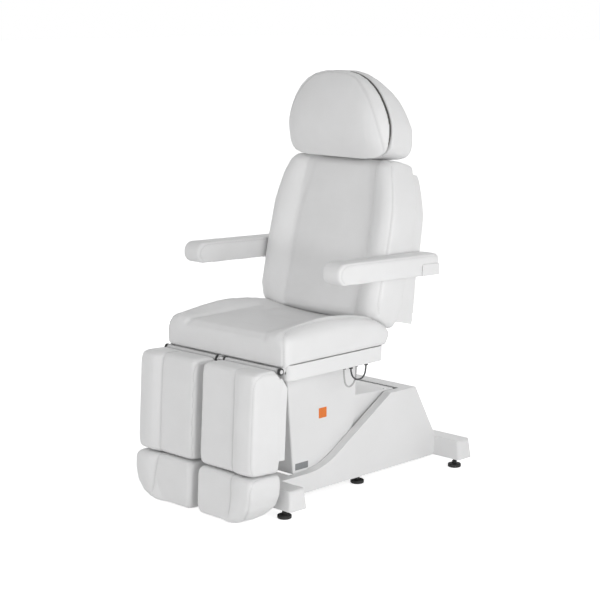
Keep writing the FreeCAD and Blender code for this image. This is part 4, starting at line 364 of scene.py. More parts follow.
# %% Steel, board and rubber
def painted_steel():
    """Powder coat: roughness = 0.36 + 0.15 * pebble, over a broad cloud of colour."""
    finish = Finish("coated_steel", 0.42)
    pebble = finish.noise(420, 2)
    finish.colour(finish.noise(6, 2), grey(0.66), grey(0.72, 0.006))
    finish.rough(0.36 + 0.15 * pebble)
    finish.bumped(pebble, 0.0002, 0.5)
    return finish.material


def brushed_steel():
    """Scratches: noise drawn out 25 times along X drives colour, gloss and bump."""
    finish = Finish("bright_steel", 0.3, metallic=1.0, stretch=(0.04, 1, 1))
    scratch = finish.noise(1500, 2)
    finish.colour(scratch, grey(0.50), grey(0.66, 0.01))
    finish.rough(0.2 + 0.18 * scratch)
    finish.bumped(scratch, 0.00005, 0.5)
    return finish.material


def stained_board():
    """Grain: noise drawn out 12 times along Z, from near black to dark brown."""
    finish = Finish("dark_board", 0.6, stretch=(1, 1, 0.08))
    grain = finish.noise(160, 4)
    finish.colour(grain, (0.045, 0.042, 0.040), (0.085, 0.080, 0.076))
    finish.bumped(grain, 0.0003, 0.5)
    return finish.material


def foot_rubber():
    """Matt black: roughness = 0.55 + 0.2 * speck."""
    finish = Finish("foot_rubber", 0.7)
    speck = finish.noise(520, 2)
    finish.colour(speck, grey(0.009), grey(0.016))
    finish.rough(0.55 + 0.2 * speck)
    finish.bumped(speck, 0.0002, 0.6)
    return finish.material


# %% [markdown]
# ## Dressing the frame
# A CAD node whose shape is right keeps it, and only gets the finish of its material slot.
# The nodes that are replaced later are dressed too, which does no harm and leaves none bare.

# %% Dressing the frame
WHITE_LEATHER = leatherette()
THREAD = thread()
WHITE_MOULDING = moulding("white_moulding", 0.79)
STEEL = brushed_steel()
FINISHES = {
    "white_leatherette": WHITE_LEATHER,
    "white_moulding": WHITE_MOULDING,
    "coated_steel": painted_steel(),
    "bright_steel": STEEL,
    "black_plastic": dull_plastic("black_plastic", (0.016, 0.016, 0.017), 0.5),
    "grey_plastic": dull_plastic("grey_plastic", (0.30, 0.31, 0.32)),
    "board": stained_board(),
    "foot_rubber": foot_rubber(),
}
DARK_JACKET = dull_plastic("dark_cable_jacket", (0.05, 0.052, 0.055), 0.45)
PALE_JACKET = dull_plastic("pale_cable_jacket", (0.50, 0.50, 0.50), 0.45)
TILE_ORANGE = dull_plastic("orange_tile", (0.86, 0.20, 0.012), 0.45)
PLATE_GREY = dull_plastic("plate_grey", (0.26, 0.27, 0.28), 0.4)
SLOT_OF = {row["node"]: row["material_slot"] for row in frame["record"]["subparts"]}


def clothe(piece, material):
    """Make this the piece's only material."""
    piece.data.materials.clear()
    piece.data.materials.append(material)


clothe(motor_cable, DARK_JACKET)
clothe(handset_cable, PALE_JACKET)
for node_name, node_object in frame["nodes"].items():
    clothe(node_object, FINISHES[SLOT_OF[node_name]])
print("dressed", len(SLOT_OF), "nodes in", len(FINISHES), "finishes")


# %% [markdown]
# ## Places on leaning parts
# The back, the armrests and the leg rests lean about hinges that run along X. Their seams are
# easier to draw on an upright part, measured from its hinge. A `Lean` turns what is drawn
# there into the chair's own frame, so that no object has to be turned.


# %% Places on leaning parts
class Lean:
    """y = hinge y + y' cos a + z' sin a, and z = hinge z - y' sin a + z' cos a."""

    def __init__(self, hinge_y, hinge_z, degrees):
        self.hinge = (hinge_y, hinge_z)
        self.cosine = math.cos(math.radians(degrees))
        self.sine = math.sin(math.radians(degrees))

    def out(self, point):
        """One point drawn upright on the part, turned into the chair's frame."""
        x, y, z = point
        return Vector((x, self.hinge[0] + y * self.cosine + z * self.sine,
                       self.hinge[1] - y * self.sine + z * self.cosine))

    def drawn(self, places):
        """Rows of points of the chair's frame as they are drawn upright on the part."""
        x, y, z = (places - (0, *self.hinge)).T
        return np.stack([x, y * self.cosine - z * self.sine,
                         y * self.sine + z * self.cosine], 1)

    def direction(self, y, z):
        """A direction drawn upright on the part, turned into the chair's frame."""
        return np.array((0, y * self.cosine + z * self.sine,
                         z * self.cosine - y * self.sine))


UPRIGHT = Lean(0, 0, 0)
BACK = Lean(0.156, 0.560, 13.3)
ARM = Lean(0.236, 0.802, 2)
LEG = Lean(-0.410, 0.522, 3.3)
SIDES = (("right", -1), ("left", 1))


def routed(lean, side, points):
    """A route on one side of a leaning part, mirrored for the right side."""
    return [lean.out((x * side, y, z)) for x, y, z in points]


# %% [markdown]
# ## Meshes as arrays
# A cover has tens of thousands of points. Moving them one at a time in Python is slow, so
# they are read into one array, moved by a formula all at once and written back.

# %% Meshes as arrays
DOUBLES = 0.00002


def points_of(mesh):
    """All points of a mesh, as rows of x, y and z."""
    places = np.zeros(len(mesh.vertices) * 3)
    mesh.vertices.foreach_get("co", places)
    return places.reshape(-1, 3)


def normals_of(mesh):
    """The outward direction at each point."""
    directions = np.zeros(len(mesh.vertices) * 3)
    mesh.vertex_normals.foreach_get("vector", directions)
    return directions.reshape(-1, 3)


def move_points(mesh, places):
    """Write rows of x, y and z back to the mesh."""
    mesh.vertices.foreach_set("co", places.ravel())
    mesh.update()


def new_piece(name, mesh, body, material):
    """A piece of the chair that rides on a body."""
    piece = link(bpy.data.objects.new(name, mesh))
    clothe(piece, material)
    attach(piece, body)
    print(name, len(mesh.vertices), "points on", body)
    return piece


def merged_copy(node, name):
    """A copy of a node's mesh with its doubled points joined."""
    mesh = frame["nodes"][node].data.copy()
    mesh.name = name
    work = bmesh.new()
    work.from_mesh(mesh)
    bmesh.ops.remove_doubles(work, verts=work.verts, dist=DOUBLES)
    work.to_mesh(mesh)
    work.free()
    return mesh


def with_modifier(mesh, kind, **settings):
    """The mesh that a modifier makes of this one."""
    holder = link(bpy.data.objects.new("holder", mesh))
    modifier = holder.modifiers.new(kind, kind)
    for key, value in settings.items():
        setattr(modifier, key, value)
    graph = bpy.context.evaluated_depsgraph_get()
    made = bpy.data.meshes.new_from_object(holder.evaluated_get(graph))
    bpy.data.objects.remove(holder)
    return made


# %% Formulas for soft shapes
def ramp(values, start, end):
    """0 at start, 1 at end and a smooth rise, 3 s^2 - 2 s^3, between them."""
    share = np.clip((values - start) / (end - start), 0, 1)
    return share * share * (3 - 2 * share)


def hill(values, middle, reach):
    """1 at the middle, falling as exp(-(distance / reach)^2)."""
    return np.exp(-(((values - middle) / reach) ** 2))


def unit(arrows):
    """Each arrow divided by its own length."""
    return arrows / np.maximum(np.linalg.norm(arrows, axis=-1), 1e-9)[..., None]


# %% [markdown]
# ## Soft covers
# A real cushion is foam in a sewn cover. A subdivided box would do for a plain one, but these
# have wings, bolsters and round corners that the CAD solids already hold. So a copy of the
# solid is rebuilt as small even quads, relaxed until its edges are soft, and stretched back
# to the size it had.


# %% Soft covers
def offsets(mesh, places):
    """From each point to the mean of its neighbours."""
    edges = np.zeros(len(mesh.edges) * 2, np.int64)
    mesh.edges.foreach_get("vertices", edges)
    first, second = edges.reshape(-1, 2).T
    size = len(places)
    count = np.bincount(first, minlength=size) + np.bincount(second, minlength=size)
    total = np.stack([
        np.bincount(first, places[second, axis], size)
        + np.bincount(second, places[first, axis], size) for axis in range(3)], 1)
    return total / np.maximum(count, 1)[:, None] - places


def relax(mesh, passes):
    """Move each point half way to the mean of its neighbours, again and again."""
    places = points_of(mesh)
    for step in range(passes):
        places = places + 0.5 * offsets(mesh, places)
    move_points(mesh, places)


def stretch_to(mesh, low, high):
    """Scale along each axis until the mesh fills the box from low to high."""
    places = points_of(mesh)
    start, end = places.min(0), places.max(0)
    move_points(mesh, low + (places - start) * (high - low) / (end - start))


def soft_cover(node, voxel, passes, sculpt):
    """The node's solid as relaxed quads of one voxel, moved by the sculpt formula."""
    mesh = with_modifier(merged_copy(node, node + "_solid"), "REMESH", mode="VOXEL",
                         voxel_size=voxel, adaptivity=0.0)
    mesh.name = node + "_cover"
    relax(mesh, passes)
    stretch_to(mesh, *(np.array(corner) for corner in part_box(node)))
    if sculpt:
        move_points(mesh, sculpt(points_of(mesh)))
    return mesh


# %% [markdown]
# ## Seams on a surface
# A seam is drawn as a few points near the cushion. To follow the cover it is laid on the
# surface at even small steps. A shrinkwrapped curve would do the same, but a tree of the
# mesh's faces answers the same question, the nearest place and its normal, without objects.

# %% Seams on a surface
ROUTE_STEP = 0.003
CHUNK = 4000
Seam = namedtuple("Seam", "route depth spread stitched", defaults=(True,))


def spaced(points, step):
    """Points at even steps along a run of straight lines."""
    route = np.array([tuple(point) for point in points])
    lengths = np.linalg.norm(np.diff(route, axis=0), axis=1)
    along = np.concatenate([[0], np.cumsum(lengths)])
    count = max(2, int(round(along[-1] / step)) + 1)
    wanted = np.linspace(0, along[-1], count)
    return np.stack([np.interp(wanted, along, route[:, axis]) for axis in range(3)], 1)


def smoothed(line, passes):
    """Move each inner place half way to the middle of its two neighbours."""
    for step in range(passes):
        line[1:-1] += 0.5 * ((line[:-2] + line[2:]) / 2 - line[1:-1])
    return line


def surface_tree(mesh):
    """The quads of a mesh, sorted for finding the nearest one."""
    corners = np.zeros(len(mesh.polygons) * 4, np.int32)
    mesh.loops.foreach_get("vertex_index", corners)
    return BVHTree.FromPolygons(points_of(mesh).tolist(), corners.reshape(-1, 4).tolist())


def nearest(tree, places):
    """The nearest place on the surface to each place, and the normal there."""
    hits = [tree.find_nearest(Vector(place)) for place in places]
    return tuple(np.array([tuple(hit[part]) for hit in hits]) for part in (0, 1))


def laid(tree, route):
    """The route on the surface at even steps."""
    return smoothed(nearest(tree, spaced(route, ROUTE_STEP))[0], 6)


def distances(places, line, limit):
    """Each place's distance to the nearest point of a line, or limit where it is far."""
    low, high = line.min(0) - limit, line.max(0) + limit
    close = np.flatnonzero(((places > low) & (places < high)).all(1))
    found = np.full(len(places), float(limit))
    for part in np.array_split(close, max(1, len(close) // CHUNK)):
        gaps = places[part][:, None, :] - line[None, :, :]
        found[part] = np.minimum(limit, np.sqrt((gaps ** 2).sum(2).min(1)))
    return found


# %% [markdown]
# ## Air pressure
# Between its seams the foam pushes the cover out, most of all in the middle of a panel. A
# displacement would lift all of it alike, so Blender's Cloth does it with air pressure. The
# points of sharply bent edges and of seams are held, as a real seam holds them. How far a
# point may move is capped, and the cushion is stretched back to its box, so that it keeps
# clear of its neighbours.

# %% Air pressure
PRESSURE = 4.0
CLOTH_QUALITY = 4
CLOTH_FRAMES = 14
BENT = 0.00025
SEAM_HELD = 0.9


def blown(mesh, held):
    """The points of the cover after it swelled, with the held ones staying put."""
    scene = bpy.context.scene
    holder = link(bpy.data.objects.new("swelling_cover", mesh))
    group = holder.vertex_groups.new(name="held")
    group.add(np.flatnonzero(held).tolist(), 1.0, "REPLACE")
    cloth = holder.modifiers.new("cloth", "CLOTH")
    cloth.settings.quality = CLOTH_QUALITY
    cloth.settings.use_pressure = True
    cloth.settings.uniform_pressure_force = PRESSURE
    cloth.settings.vertex_group_mass = "held"
    cloth.settings.effector_weights.gravity = 0
    cloth.point_cache.frame_start = 1
    cloth.point_cache.frame_end = CLOTH_FRAMES
    for frame_number in range(1, CLOTH_FRAMES + 1):
        scene.frame_set(frame_number)
    graph = bpy.context.evaluated_depsgraph_get()
    after = points_of(holder.evaluated_get(graph).data)
    scene.frame_set(1)
    bpy.data.objects.remove(holder)
    return after


def swell(mesh, seams, voxel, cap):
    """Hold edges and seams, blow the cover up and cap each point's move."""
    before = points_of(mesh)
    held = np.linalg.norm(offsets(mesh, before), axis=1) > BENT
    tree = surface_tree(mesh)
    for seam in seams:
        held |= distances(before, laid(tree, seam.route), voxel * 2) < voxel * SEAM_HELD
    move = blown(mesh, held) - before
    length = np.linalg.norm(move, axis=1)
    move *= np.minimum(1, cap / np.maximum(length, 1e-9))[:, None]
    move_points(mesh, before + move)
    stretch_to(mesh, before.min(0), before.max(0))
    print(mesh.name, "swelled, largest move", round(length.max(), 4), "capped at", cap)


# %% [markdown]
# ## Stitches
# A rolled edge lies along each sewn seam, with a row of short stitches on either side. Bump
# could only hint at them and a voxel remesh would erase them, so they are thin round bars
# laid on the finished cover. All bars of a row are worked out together.

# %% Bars
TIP = 0.7


def band(rings, sides):
    """Quads between neighbouring rings of a closed outline, all in one array."""
    ring, side = np.meshgrid(np.arange(rings - 1) * sides, np.arange(sides), indexing="ij")
    after = (side + 1) % sides
    return np.stack([ring + side, ring + after, ring + sides + after,
                     ring + sides + side], -1).reshape(-1, 4)


class Threads:
    """Gathers thin round bars into one mesh."""

    def __init__(self):
        self.points = []
        self.faces = []
        self.size = 0

    def bars(self, lines, radius, sides, normals):
        """Bars along lines, an array of bars by places by x, y, z, with closed ends.

        A ring's point is place + radius * (cos t * across + sin t * lift). Across is square
        to the line and the normal, lift is square to the line and to across.
        """
        ahead = unit(np.gradient(lines, axis=1))
        across = unit(np.cross(ahead, normals))
        lift = np.cross(across, ahead)
        turns = (np.arange(sides) * 2 * math.pi / sides)[:, None]
        rings = (lines[:, :, None, :] + radius * np.cos(turns) * across[:, :, None, :]
                 + radius * np.sin(turns) * lift[:, :, None, :])
        tips = np.stack([lines[:, 0] - ahead[:, 0] * radius * TIP,
                         lines[:, -1] + ahead[:, -1] * radius * TIP], 1)
        count, places = lines.shape[:2]
        tail = places * sides
        side = np.arange(sides)
        after = (side + 1) % sides
        fans = np.concatenate([
            np.stack([after, side, np.full(sides, tail)], 1),
            np.stack([tail - sides + side, tail - sides + after,
                      np.full(sides, tail + 1)], 1)])
        starts = self.size + np.arange(count)[:, None, None] * (tail + 2)
        self.faces += (band(places, sides) + starts).reshape(-1, 4).tolist()
        self.faces += (fans + starts).reshape(-1, 3).tolist()
        solid = np.concatenate([rings.reshape(count, tail, 3), tips], 1)
        self.points.append(solid.reshape(-1, 3))
        self.size += count * (tail + 2)

    def mesh(self, name):
        """All bars as one mesh whose faces point outwards."""
        mesh = bpy.data.meshes.new(name)
        mesh.from_pydata(np.concatenate(self.points).tolist(), [], self.faces)
        mesh.update()
        work = bmesh.new()
        work.from_mesh(mesh)
        bmesh.ops.recalc_face_normals(work, faces=work.faces)
        work.to_mesh(mesh)
        work.free()
        mesh.shade_smooth()
        return mesh


# %% Stitches
STITCH_STEP = 0.0075
STITCH_LENGTH = 0.005
STITCH_OFFSET = 0.0038
STITCH_RADIUS = 0.00035
STITCH_LIFT = 0.0003
ROLL_RADIUS = 0.0008
ROLL_LIFT = 0.0002


def stitch_row(threads, tree, ground, upward, side):
    """Stitches at even steps beside a seam, their ends sunk into the cover."""
    gap = np.linalg.norm(np.diff(ground, axis=0), axis=1).mean()
    index = np.arange(1, len(ground) - 2, max(1, int(round(STITCH_STEP / gap))))
    ahead = unit(ground[index + 1] - ground[index])
    middle = ground[index] + np.cross(ahead, upward[index]) * STITCH_OFFSET * side
    shares = np.array((-0.5, 0, 0.5))[:, None]
    wanted = middle[:, None, :] + ahead[:, None, :] * STITCH_LENGTH * shares
    places, normals = nearest(tree, wanted.reshape(-1, 3))
    height = STITCH_LIFT * (1 - 2 * np.abs(shares))
    lines = places.reshape(wanted.shape) + normals.reshape(wanted.shape) * height
    threads.bars(lines, STITCH_RADIUS, 5, np.repeat(upward[index][:, None, :], 3, 1))


def sewn_lines(mesh, seams):
    """The rolled edge and both rows of stitches of every stitched seam."""
    threads = Threads()
    tree = surface_tree(mesh)
    for seam in seams:
        if seam.stitched:
            ground, upward = nearest(tree, laid(tree, seam.route))
            ground = smoothed(ground, 3)
            threads.bars((ground + upward * ROLL_LIFT)[None], ROLL_RADIUS, 8, upward[None])
            for side in (-1, 1):
                stitch_row(threads, tree, ground, upward, side)
    return threads


# %% [markdown]
# ## One cushion
# The steps above, in the order in which the cover changes: rebuild, swell, divide once, draw
# the seams in, and sew. A seam is drawn in last because a remesh loses any line narrower
# than a voxel. A crease, where two panels meet without stitches, is a wide seam with no
# thread.


# %% One cushion
def draw_in(mesh, seams):
    """Sink the cover along each seam by depth * exp(-(distance / spread)^2)."""
    for seam in seams:
        line = laid(surface_tree(mesh), seam.route)
        places = points_of(mesh)
        limit = seam.spread * 3
        away = distances(places, line, limit)
        sink = np.where(away < limit, seam.depth * np.exp(-((away / seam.spread) ** 2)), 0)
        move_points(mesh, places - normals_of(mesh) * sink[:, None])


def cushion(node, body, seams, voxel, passes, cap, sculpt=None):
    """Put a sewn cover in the scene in place of its node, with its threads."""
    mesh = soft_cover(node, voxel, passes, sculpt)
    swell(mesh, seams, voxel, cap)
    mesh = with_modifier(mesh, "SUBSURF", levels=1, render_levels=1)
    mesh.name = node + "_cover"
    mesh.shade_smooth()
    draw_in(mesh, seams)
    piece = new_piece(node + "_cover", mesh, body, WHITE_LEATHER)
    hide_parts(node)
    threads = sewn_lines(mesh, seams)
    if threads.points:
        name = node + "_stitching"
        new_piece(name, threads.mesh(name), body, THREAD)


# %% [markdown]
# ## Seat cushion
# The seat is one smooth panel, dished in the middle between two low bolsters, and its front
# lip reaches down over the tray. A seam runs up each front corner and back along the side's
# top edge. Two creases part the bolsters from the dish and one follows the front edge. The
# dish and bolsters are smooth hills, so they are formulas rather than a sculpted mesh.

# %% Seat cushion
DISH_DEPTH = 0.012
BOLSTER_RISE = 0.004
LIP_DROP = 0.005


def seat_form(places):
    """Lower the lip, sink the dish and raise the bolsters.

    The dish is 12 mm * exp(-(x / 0.12)^2 - (y / 0.10)^2) deep. A bolster is a hill of 4 mm
    about |x| = 0.236. The lip falls 5 mm where y and z are near the tray's front edge.
    """
    x, y, z = places.T
    upper = ramp(z, 0.58, 0.60)
    moved = places.copy()
    moved[:, 2] -= LIP_DROP * ramp(-y, 0.378, 0.392) * ramp(-z, -0.575, -0.545)
    moved[:, 2] -= DISH_DEPTH * upper * hill(x, 0, 0.12) * hill(y, 0.0, 0.10)
    moved[:, 2] += BOLSTER_RISE * upper * hill(np.abs(x), 0.236, 0.026) * hill(y, -0.16, 0.20)
    return moved


SEAT_CORNER = [(0.288, -0.400, 0.541), (0.288, -0.400, 0.598), (0.276, -0.390, 0.632),
               (0.258, -0.357, 0.646), (0.253, -0.320, 0.652), (0.257, -0.240, 0.658),
               (0.262, -0.120, 0.660), (0.265, -0.010, 0.652), (0.268, 0.070, 0.630)]
SEAT_BOLSTER = [(0.194, -0.396, 0.623), (0.180, -0.330, 0.636), (0.186, -0.210, 0.638),
                (0.191, -0.124, 0.638), (0.198, -0.038, 0.638)]
SEAT_FRONT = [(x, -0.392, 0.626) for x in np.linspace(-0.194, 0.194, 12)]
seat_seams = []
for side_name, side_sign in SIDES:
    seat_seams.append(Seam(routed(UPRIGHT, side_sign, SEAT_CORNER), 0.0016, 0.006))
    seat_seams.append(Seam(routed(UPRIGHT, side_sign, SEAT_BOLSTER), 0.0050, 0.013, False))
seat_seams.append(Seam(SEAT_FRONT, 0.0022, 0.008, False))
cushion("seat_cushion", "seat", seat_seams, voxel=0.0065, passes=2, cap=0.004,
        sculpt=seat_form)

# %% [markdown]
# ## Backrest cushion
# The back has a flat middle panel, widest at the waist, between two raised wings. A seam
# follows the front corner of each side and the top edge, and a wide crease parts the panel
# from each wing. The CAD solid holds the wings, and a formula only rounds and fills them.


# %% Backrest cushion
def back_form(places):
    """Raise the wings' outer half, fill the foot and top edge, and slim the shoulders.

    Forwards by 4 mm on a wing and 10 mm at the foot, up by 3 mm at the top and down by 6 mm
    at the foot, and inwards by 6 mm at the shoulders, each under a smooth hill.
    """
    x, y, z = BACK.drawn(places).T
    facing = ramp(-y, 0.06, 0.10)
    wing = hill(np.abs(x), 0.262, 0.030) * ramp(z, 0.05, 0.14) * ramp(-z, -0.60, -0.54)
    foot = hill(z, 0.045, 0.035)
    top = hill(z, 0.606, 0.012) * ramp(-y, -0.02, 0.06)
    shoulder = hill(z, 0.55, 0.06) * ramp(np.abs(x), 0.15, 0.25)
    moved = (places + BACK.direction(-1, 0) * (
        0.004 * facing * wing + 0.010 * foot * ramp(-y, 0, 0.05))[:, None])
    moved += BACK.direction(0, 1) * (0.003 * top - 0.006 * foot * facing)[:, None]
    moved[:, 0] -= 0.006 * np.sign(x) * shoulder
    return moved


BACK_CORNER = [(0.291, -0.101, 0.070), (0.292, -0.120, 0.100), (0.293, -0.122, 0.170),
               (0.2945, -0.122, 0.290), (0.2935, -0.122, 0.380), (0.2885, -0.122, 0.441),
               (0.277, -0.121, 0.502), (0.260, -0.120, 0.556), (0.246, -0.112, 0.592)]
BACK_WING = [(0.181, -0.104, 0.067), (0.180, -0.107, 0.140), (0.177, -0.107, 0.270),
             (0.176, -0.107, 0.350), (0.170, -0.107, 0.430), (0.148, -0.108, 0.521),
             (0.137, -0.108, 0.585)]
BACK_TOP = [BACK.out((x, -0.104, 0.604)) for x in np.linspace(-0.236, 0.236, 12)]
back_seams = []
for side_name, side_sign in SIDES:
    back_seams.append(Seam(routed(BACK, side_sign, BACK_CORNER), 0.0020, 0.0045))
    back_seams.append(Seam(routed(BACK, side_sign, BACK_WING), 0.0020, 0.013, False))
back_seams.append(Seam(BACK_TOP, 0.0016, 0.005))
cushion("backrest_cushion", "backrest", back_seams, voxel=0.0072, passes=2, cap=0.004,
        sculpt=back_form)

# %% [markdown]
# ## Headrest
# Two pads meet at a dark board. The front pad has a facing panel, and the seam that joins it
# to its gusset runs round near the panel's edge. The rear pad is a plain cap, fullest at its
# foot. The pads' lower corners are wider than the relaxed solids, so both share one formula.


# %% Headrest
def head_corners(places):
    """Widen the lower corners of a pad by up to 10 mm and bring its foot down 4 mm."""
    x, y, z = places.T
    moved = places.copy()
    moved[:, 0] += (0.010 * np.sign(x) * ramp(np.abs(x), 0.15, 0.22)
                    * ramp(-z, -1.27, -1.20))
    moved[:, 2] -= 0.004 * ramp(-z, -1.215, -1.190)
    return moved


def head_rear_form(places):
    """Fill the rear pad by 18 mm towards its rear and foot, and 10 mm more at the foot."""
    x, y, z = places.T
    moved = head_corners(places)
    moved[:, 1] += 0.018 * ramp(y, 0.18, 0.26) * ramp(-z, -1.50, -1.36)
    moved[:, 1] += 0.010 * ramp(y, 0.21, 0.26) * ramp(-z, -1.27, -1.20)
    moved[:, 2] -= 0.005 * ramp(y, 0.19, 0.25) * ramp(-z, -1.215, -1.190)
    return moved


HEAD_HALF = [(0.000, 0.151, 1.482), (0.055, 0.150, 1.478), (0.101, 0.147, 1.467),
             (0.131, 0.142, 1.4445), (0.160, 0.137, 1.413), (0.186, 0.134, 1.376),
             (0.203, 0.134, 1.341), (0.217, 0.138, 1.2945), (0.224, 0.151, 1.247),
             (0.224, 0.164, 1.215), (0.210, 0.166, 1.196), (0.160, 0.162, 1.189),
             (0.080, 0.158, 1.188), (0.000, 0.157, 1.188)]
HEAD_ROUND = HEAD_HALF + [(-x, y, z) for x, y, z in reversed(HEAD_HALF)][1:]
cushion("headrest_front_pad", "headrest", [Seam(HEAD_ROUND, 0.0016, 0.005)],
        voxel=0.005, passes=2, cap=0.003, sculpt=head_corners)
cushion("headrest_rear_pad", "headrest", [],
        voxel=0.005, passes=2, cap=0.003, sculpt=head_rear_form)

# %% [markdown]
# ## Armrests and leg rests
# An armrest's pad is a firm bar whose seams run along both top edges and round its nose. A
# stitched seam divides the front face of each leg and foot cushion, and further seams outline
# the side panels. Left and right differ only in the sign of x, so each route is drawn once.

# %% Armrests and leg rests
ARM_NOSE = [(0.036, 0.047), (-0.150, 0.047), (-0.425, 0.047), (-0.446, 0.042),
            (-0.461, 0.029), (-0.465, 0.014), (-0.460, -0.001), (-0.446, -0.012)]
LEG_MIDDLE = [(0.181, -0.040, 0.004), (0.181, -0.085, 0.002), (0.182, -0.110, -0.030),
              (0.183, -0.112, -0.180), (0.184, -0.111, -0.330), (0.184, -0.096, -0.346)]
LEG_EDGE = [(-0.020, -0.003), (-0.080, -0.004), (-0.110, -0.018), (-0.122, -0.050),
            (-0.123, -0.180), (-0.122, -0.310), (-0.110, -0.338)]
FOOT_MIDDLE = [(0.185, -0.080, -0.354), (0.187, -0.112, -0.364), (0.190, -0.118, -0.400),
               (0.196, -0.118, -0.440), (0.200, -0.114, -0.490), (0.200, -0.080, -0.512)]
FOOT_EDGE = [(0.280, -0.070, -0.356), (0.284, -0.110, -0.364), (0.290, -0.126, -0.390),
             (0.286, -0.124, -0.440), (0.270, -0.118, -0.485), (0.246, -0.100, -0.510)]


def edge_seams(lean, side, profile, edges, depth, spread):
    """The same seam at several distances from the middle of the chair."""
    return [Seam(routed(lean, side, [(edge, y, z) for y, z in profile]), depth, spread)
            for edge in edges]


def limb_cushions(name, side):
    """The armrest pad, leg cushion and foot cushion of one side."""
    cushion("armrest_pad_" + name, "armrest_" + name,
            edge_seams(ARM, side, ARM_NOSE, (0.3885, 0.3085), 0.0010, 0.0040),
            voxel=0.0045, passes=1, cap=0.0015)
    leg_seams = [Seam(routed(LEG, side, LEG_MIDDLE), 0.0022, 0.006)]
    leg_seams += edge_seams(LEG, side, LEG_EDGE, (0.283, 0.012), 0.0014, 0.0045)
    cushion("leg_cushion_" + name, "leg_rest_" + name, leg_seams,
            voxel=0.0055, passes=2, cap=0.003)
    foot_seams = [Seam(routed(LEG, side, FOOT_MIDDLE), 0.0020, 0.006),
                  Seam(routed(LEG, side, FOOT_EDGE), 0.0014, 0.0045)]
    cushion("foot_cushion_" + name, "foot_section_" + name, foot_seams,
            voxel=0.0055, passes=2, cap=0.003)


for side_name, side_sign in SIDES:
    limb_cushions(side_name, side_sign)

# %% [markdown]
# ## Mouldings
# Plastic shells have no sharp edges, and a rounded edge catches a thin line of light. The CAD
# solids are sharp, and their meshes are loose triangles. So a copy of each is merged, its
# flat faces are joined, and a Bevel modifier rounds each outward edge by as much as its
# narrower face allows.

# %% Mouldings
FLAT = math.radians(0.4)
ROUNDED_ABOVE = math.radians(20)
SHARP_ABOVE = math.radians(32)
EDGE_ROOM = 0.4
SHELLS = (("base_cover", "base", 0.006), ("lift_arm_cover", "upper_arm", 0.003),
          ("lift_shroud", "carrier", 0.003), ("seat_tray", "seat", 0.004),
          ("backrest_shell", "backrest", 0.005),
          ("leg_shell_right", "leg_rest_right", 0.004),
          ("leg_shell_left", "leg_rest_left", 0.004))


def weigh_edges(work, width):
    """An edge's weight is EDGE_ROOM * the narrower face's area / edge length / width."""
    weights = work.edges.layers.float.new("bevel_weight_edge")
    outward = [edge for edge in work.edges if len(edge.link_faces) == 2
               and edge.is_convex and edge.calc_face_angle(0) >= ROUNDED_ABOVE]
    for edge in outward:
        length = max(edge.calc_length(), 1e-6)
        room = min(face.calc_area() / length for face in edge.link_faces)
        edge[weights] = min(1.0, EDGE_ROOM * room / width)
    print(len(outward), "edges rounded by up to", width)


def rounded(node, body, width):
    """Replace a moulding by a copy whose outward edges are rounded."""
    mesh = merged_copy(node, node + "_shell")
    work = bmesh.new()
    work.from_mesh(mesh)
    bmesh.ops.dissolve_limit(work, angle_limit=FLAT, verts=work.verts, edges=work.edges)
    weigh_edges(work, width)
    work.to_mesh(mesh)
    work.free()
    mesh.shade_smooth()
    mesh.set_sharp_from_angle(angle=SHARP_ABOVE)
    piece = new_piece(node + "_shell", mesh, body, WHITE_MOULDING)
    bevel = piece.modifiers.new("rounding", "BEVEL")
    bevel.limit_method = "WEIGHT"
    bevel.width = width
    bevel.segments = 3
    bevel.harden_normals = True
    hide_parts(node)


for shell_node, shell_body, shell_width in SHELLS:
    rounded(shell_node, shell_body, shell_width)

# %% [markdown]
# ## Trim
# A bare orange tile and a bare grey plate sit on the left side of the shroud, and two domed
# socket screws hold the lift arm's housing. Each is a stack of rings with a flat end, and a
# ring is worked out for all its points at once: a rounded rectangle for a tag, and a circle
# or a hexagon for a screw.

# %% Trim
SHROUD_SIDE = 0.160
TILE = ((-0.0965, 0.2820), (-0.0570, 0.3190))
PLATE = ((-0.215, 0.116), (-0.151, 0.140))
TAG_CORNER = 0.002
TAG_SUNK = 0.0003
SCREW_RADIUS = 0.0042
SCREW_PROFILE = [(1.0, -0.3), (1.0, 0.15), (0.9, 0.42), (0.62, 0.6), (0.5, 0.6), (0.5, 0.1)]
SCREW_SIDES = 24


def stack(name, rings, body, material):
    """A closed piece through rings of points, an array of rings by places by x, y, z."""
    count, sides = rings.shape[:2]
    ends = [list(reversed(range(sides))), list(range((count - 1) * sides, count * sides))]
    mesh = bpy.data.meshes.new(name)
    mesh.from_pydata(rings.reshape(-1, 3).tolist(), [], ends + band(count, sides).tolist())
    mesh.update()
    new_piece(name, mesh, body, material)


def flat_tag(name, corners, thickness, material):
    """A rounded rectangle, corner centre + radius * (cos t, sin t), with a bevelled face."""
    low, high = np.array(corners)
    quarter = np.repeat(np.arange(4), 5)
    turn = (quarter + np.tile(np.arange(5) / 4, 4)) * math.pi / 2
    centre = np.stack([
        np.where((quarter == 0) | (quarter == 3), high[0] - TAG_CORNER, low[0] + TAG_CORNER),
        np.where(quarter < 2, high[1] - TAG_CORNER, low[1] + TAG_CORNER)], 1)
    outline = centre + TAG_CORNER * np.stack([np.cos(turn), np.sin(turn)], 1)
    middle = (low + high) / 2
    shares = np.array([1, 1, 0.985])[:, None, None]
    flat = middle + (outline - middle) * shares
    lift = np.array([-TAG_SUNK, thickness * 0.6, thickness])[:, None, None]
    sides = np.broadcast_to(SHROUD_SIDE + lift, (*flat.shape[:2], 1))
    stack(name, np.concatenate([sides, flat], 2), "carrier", material)


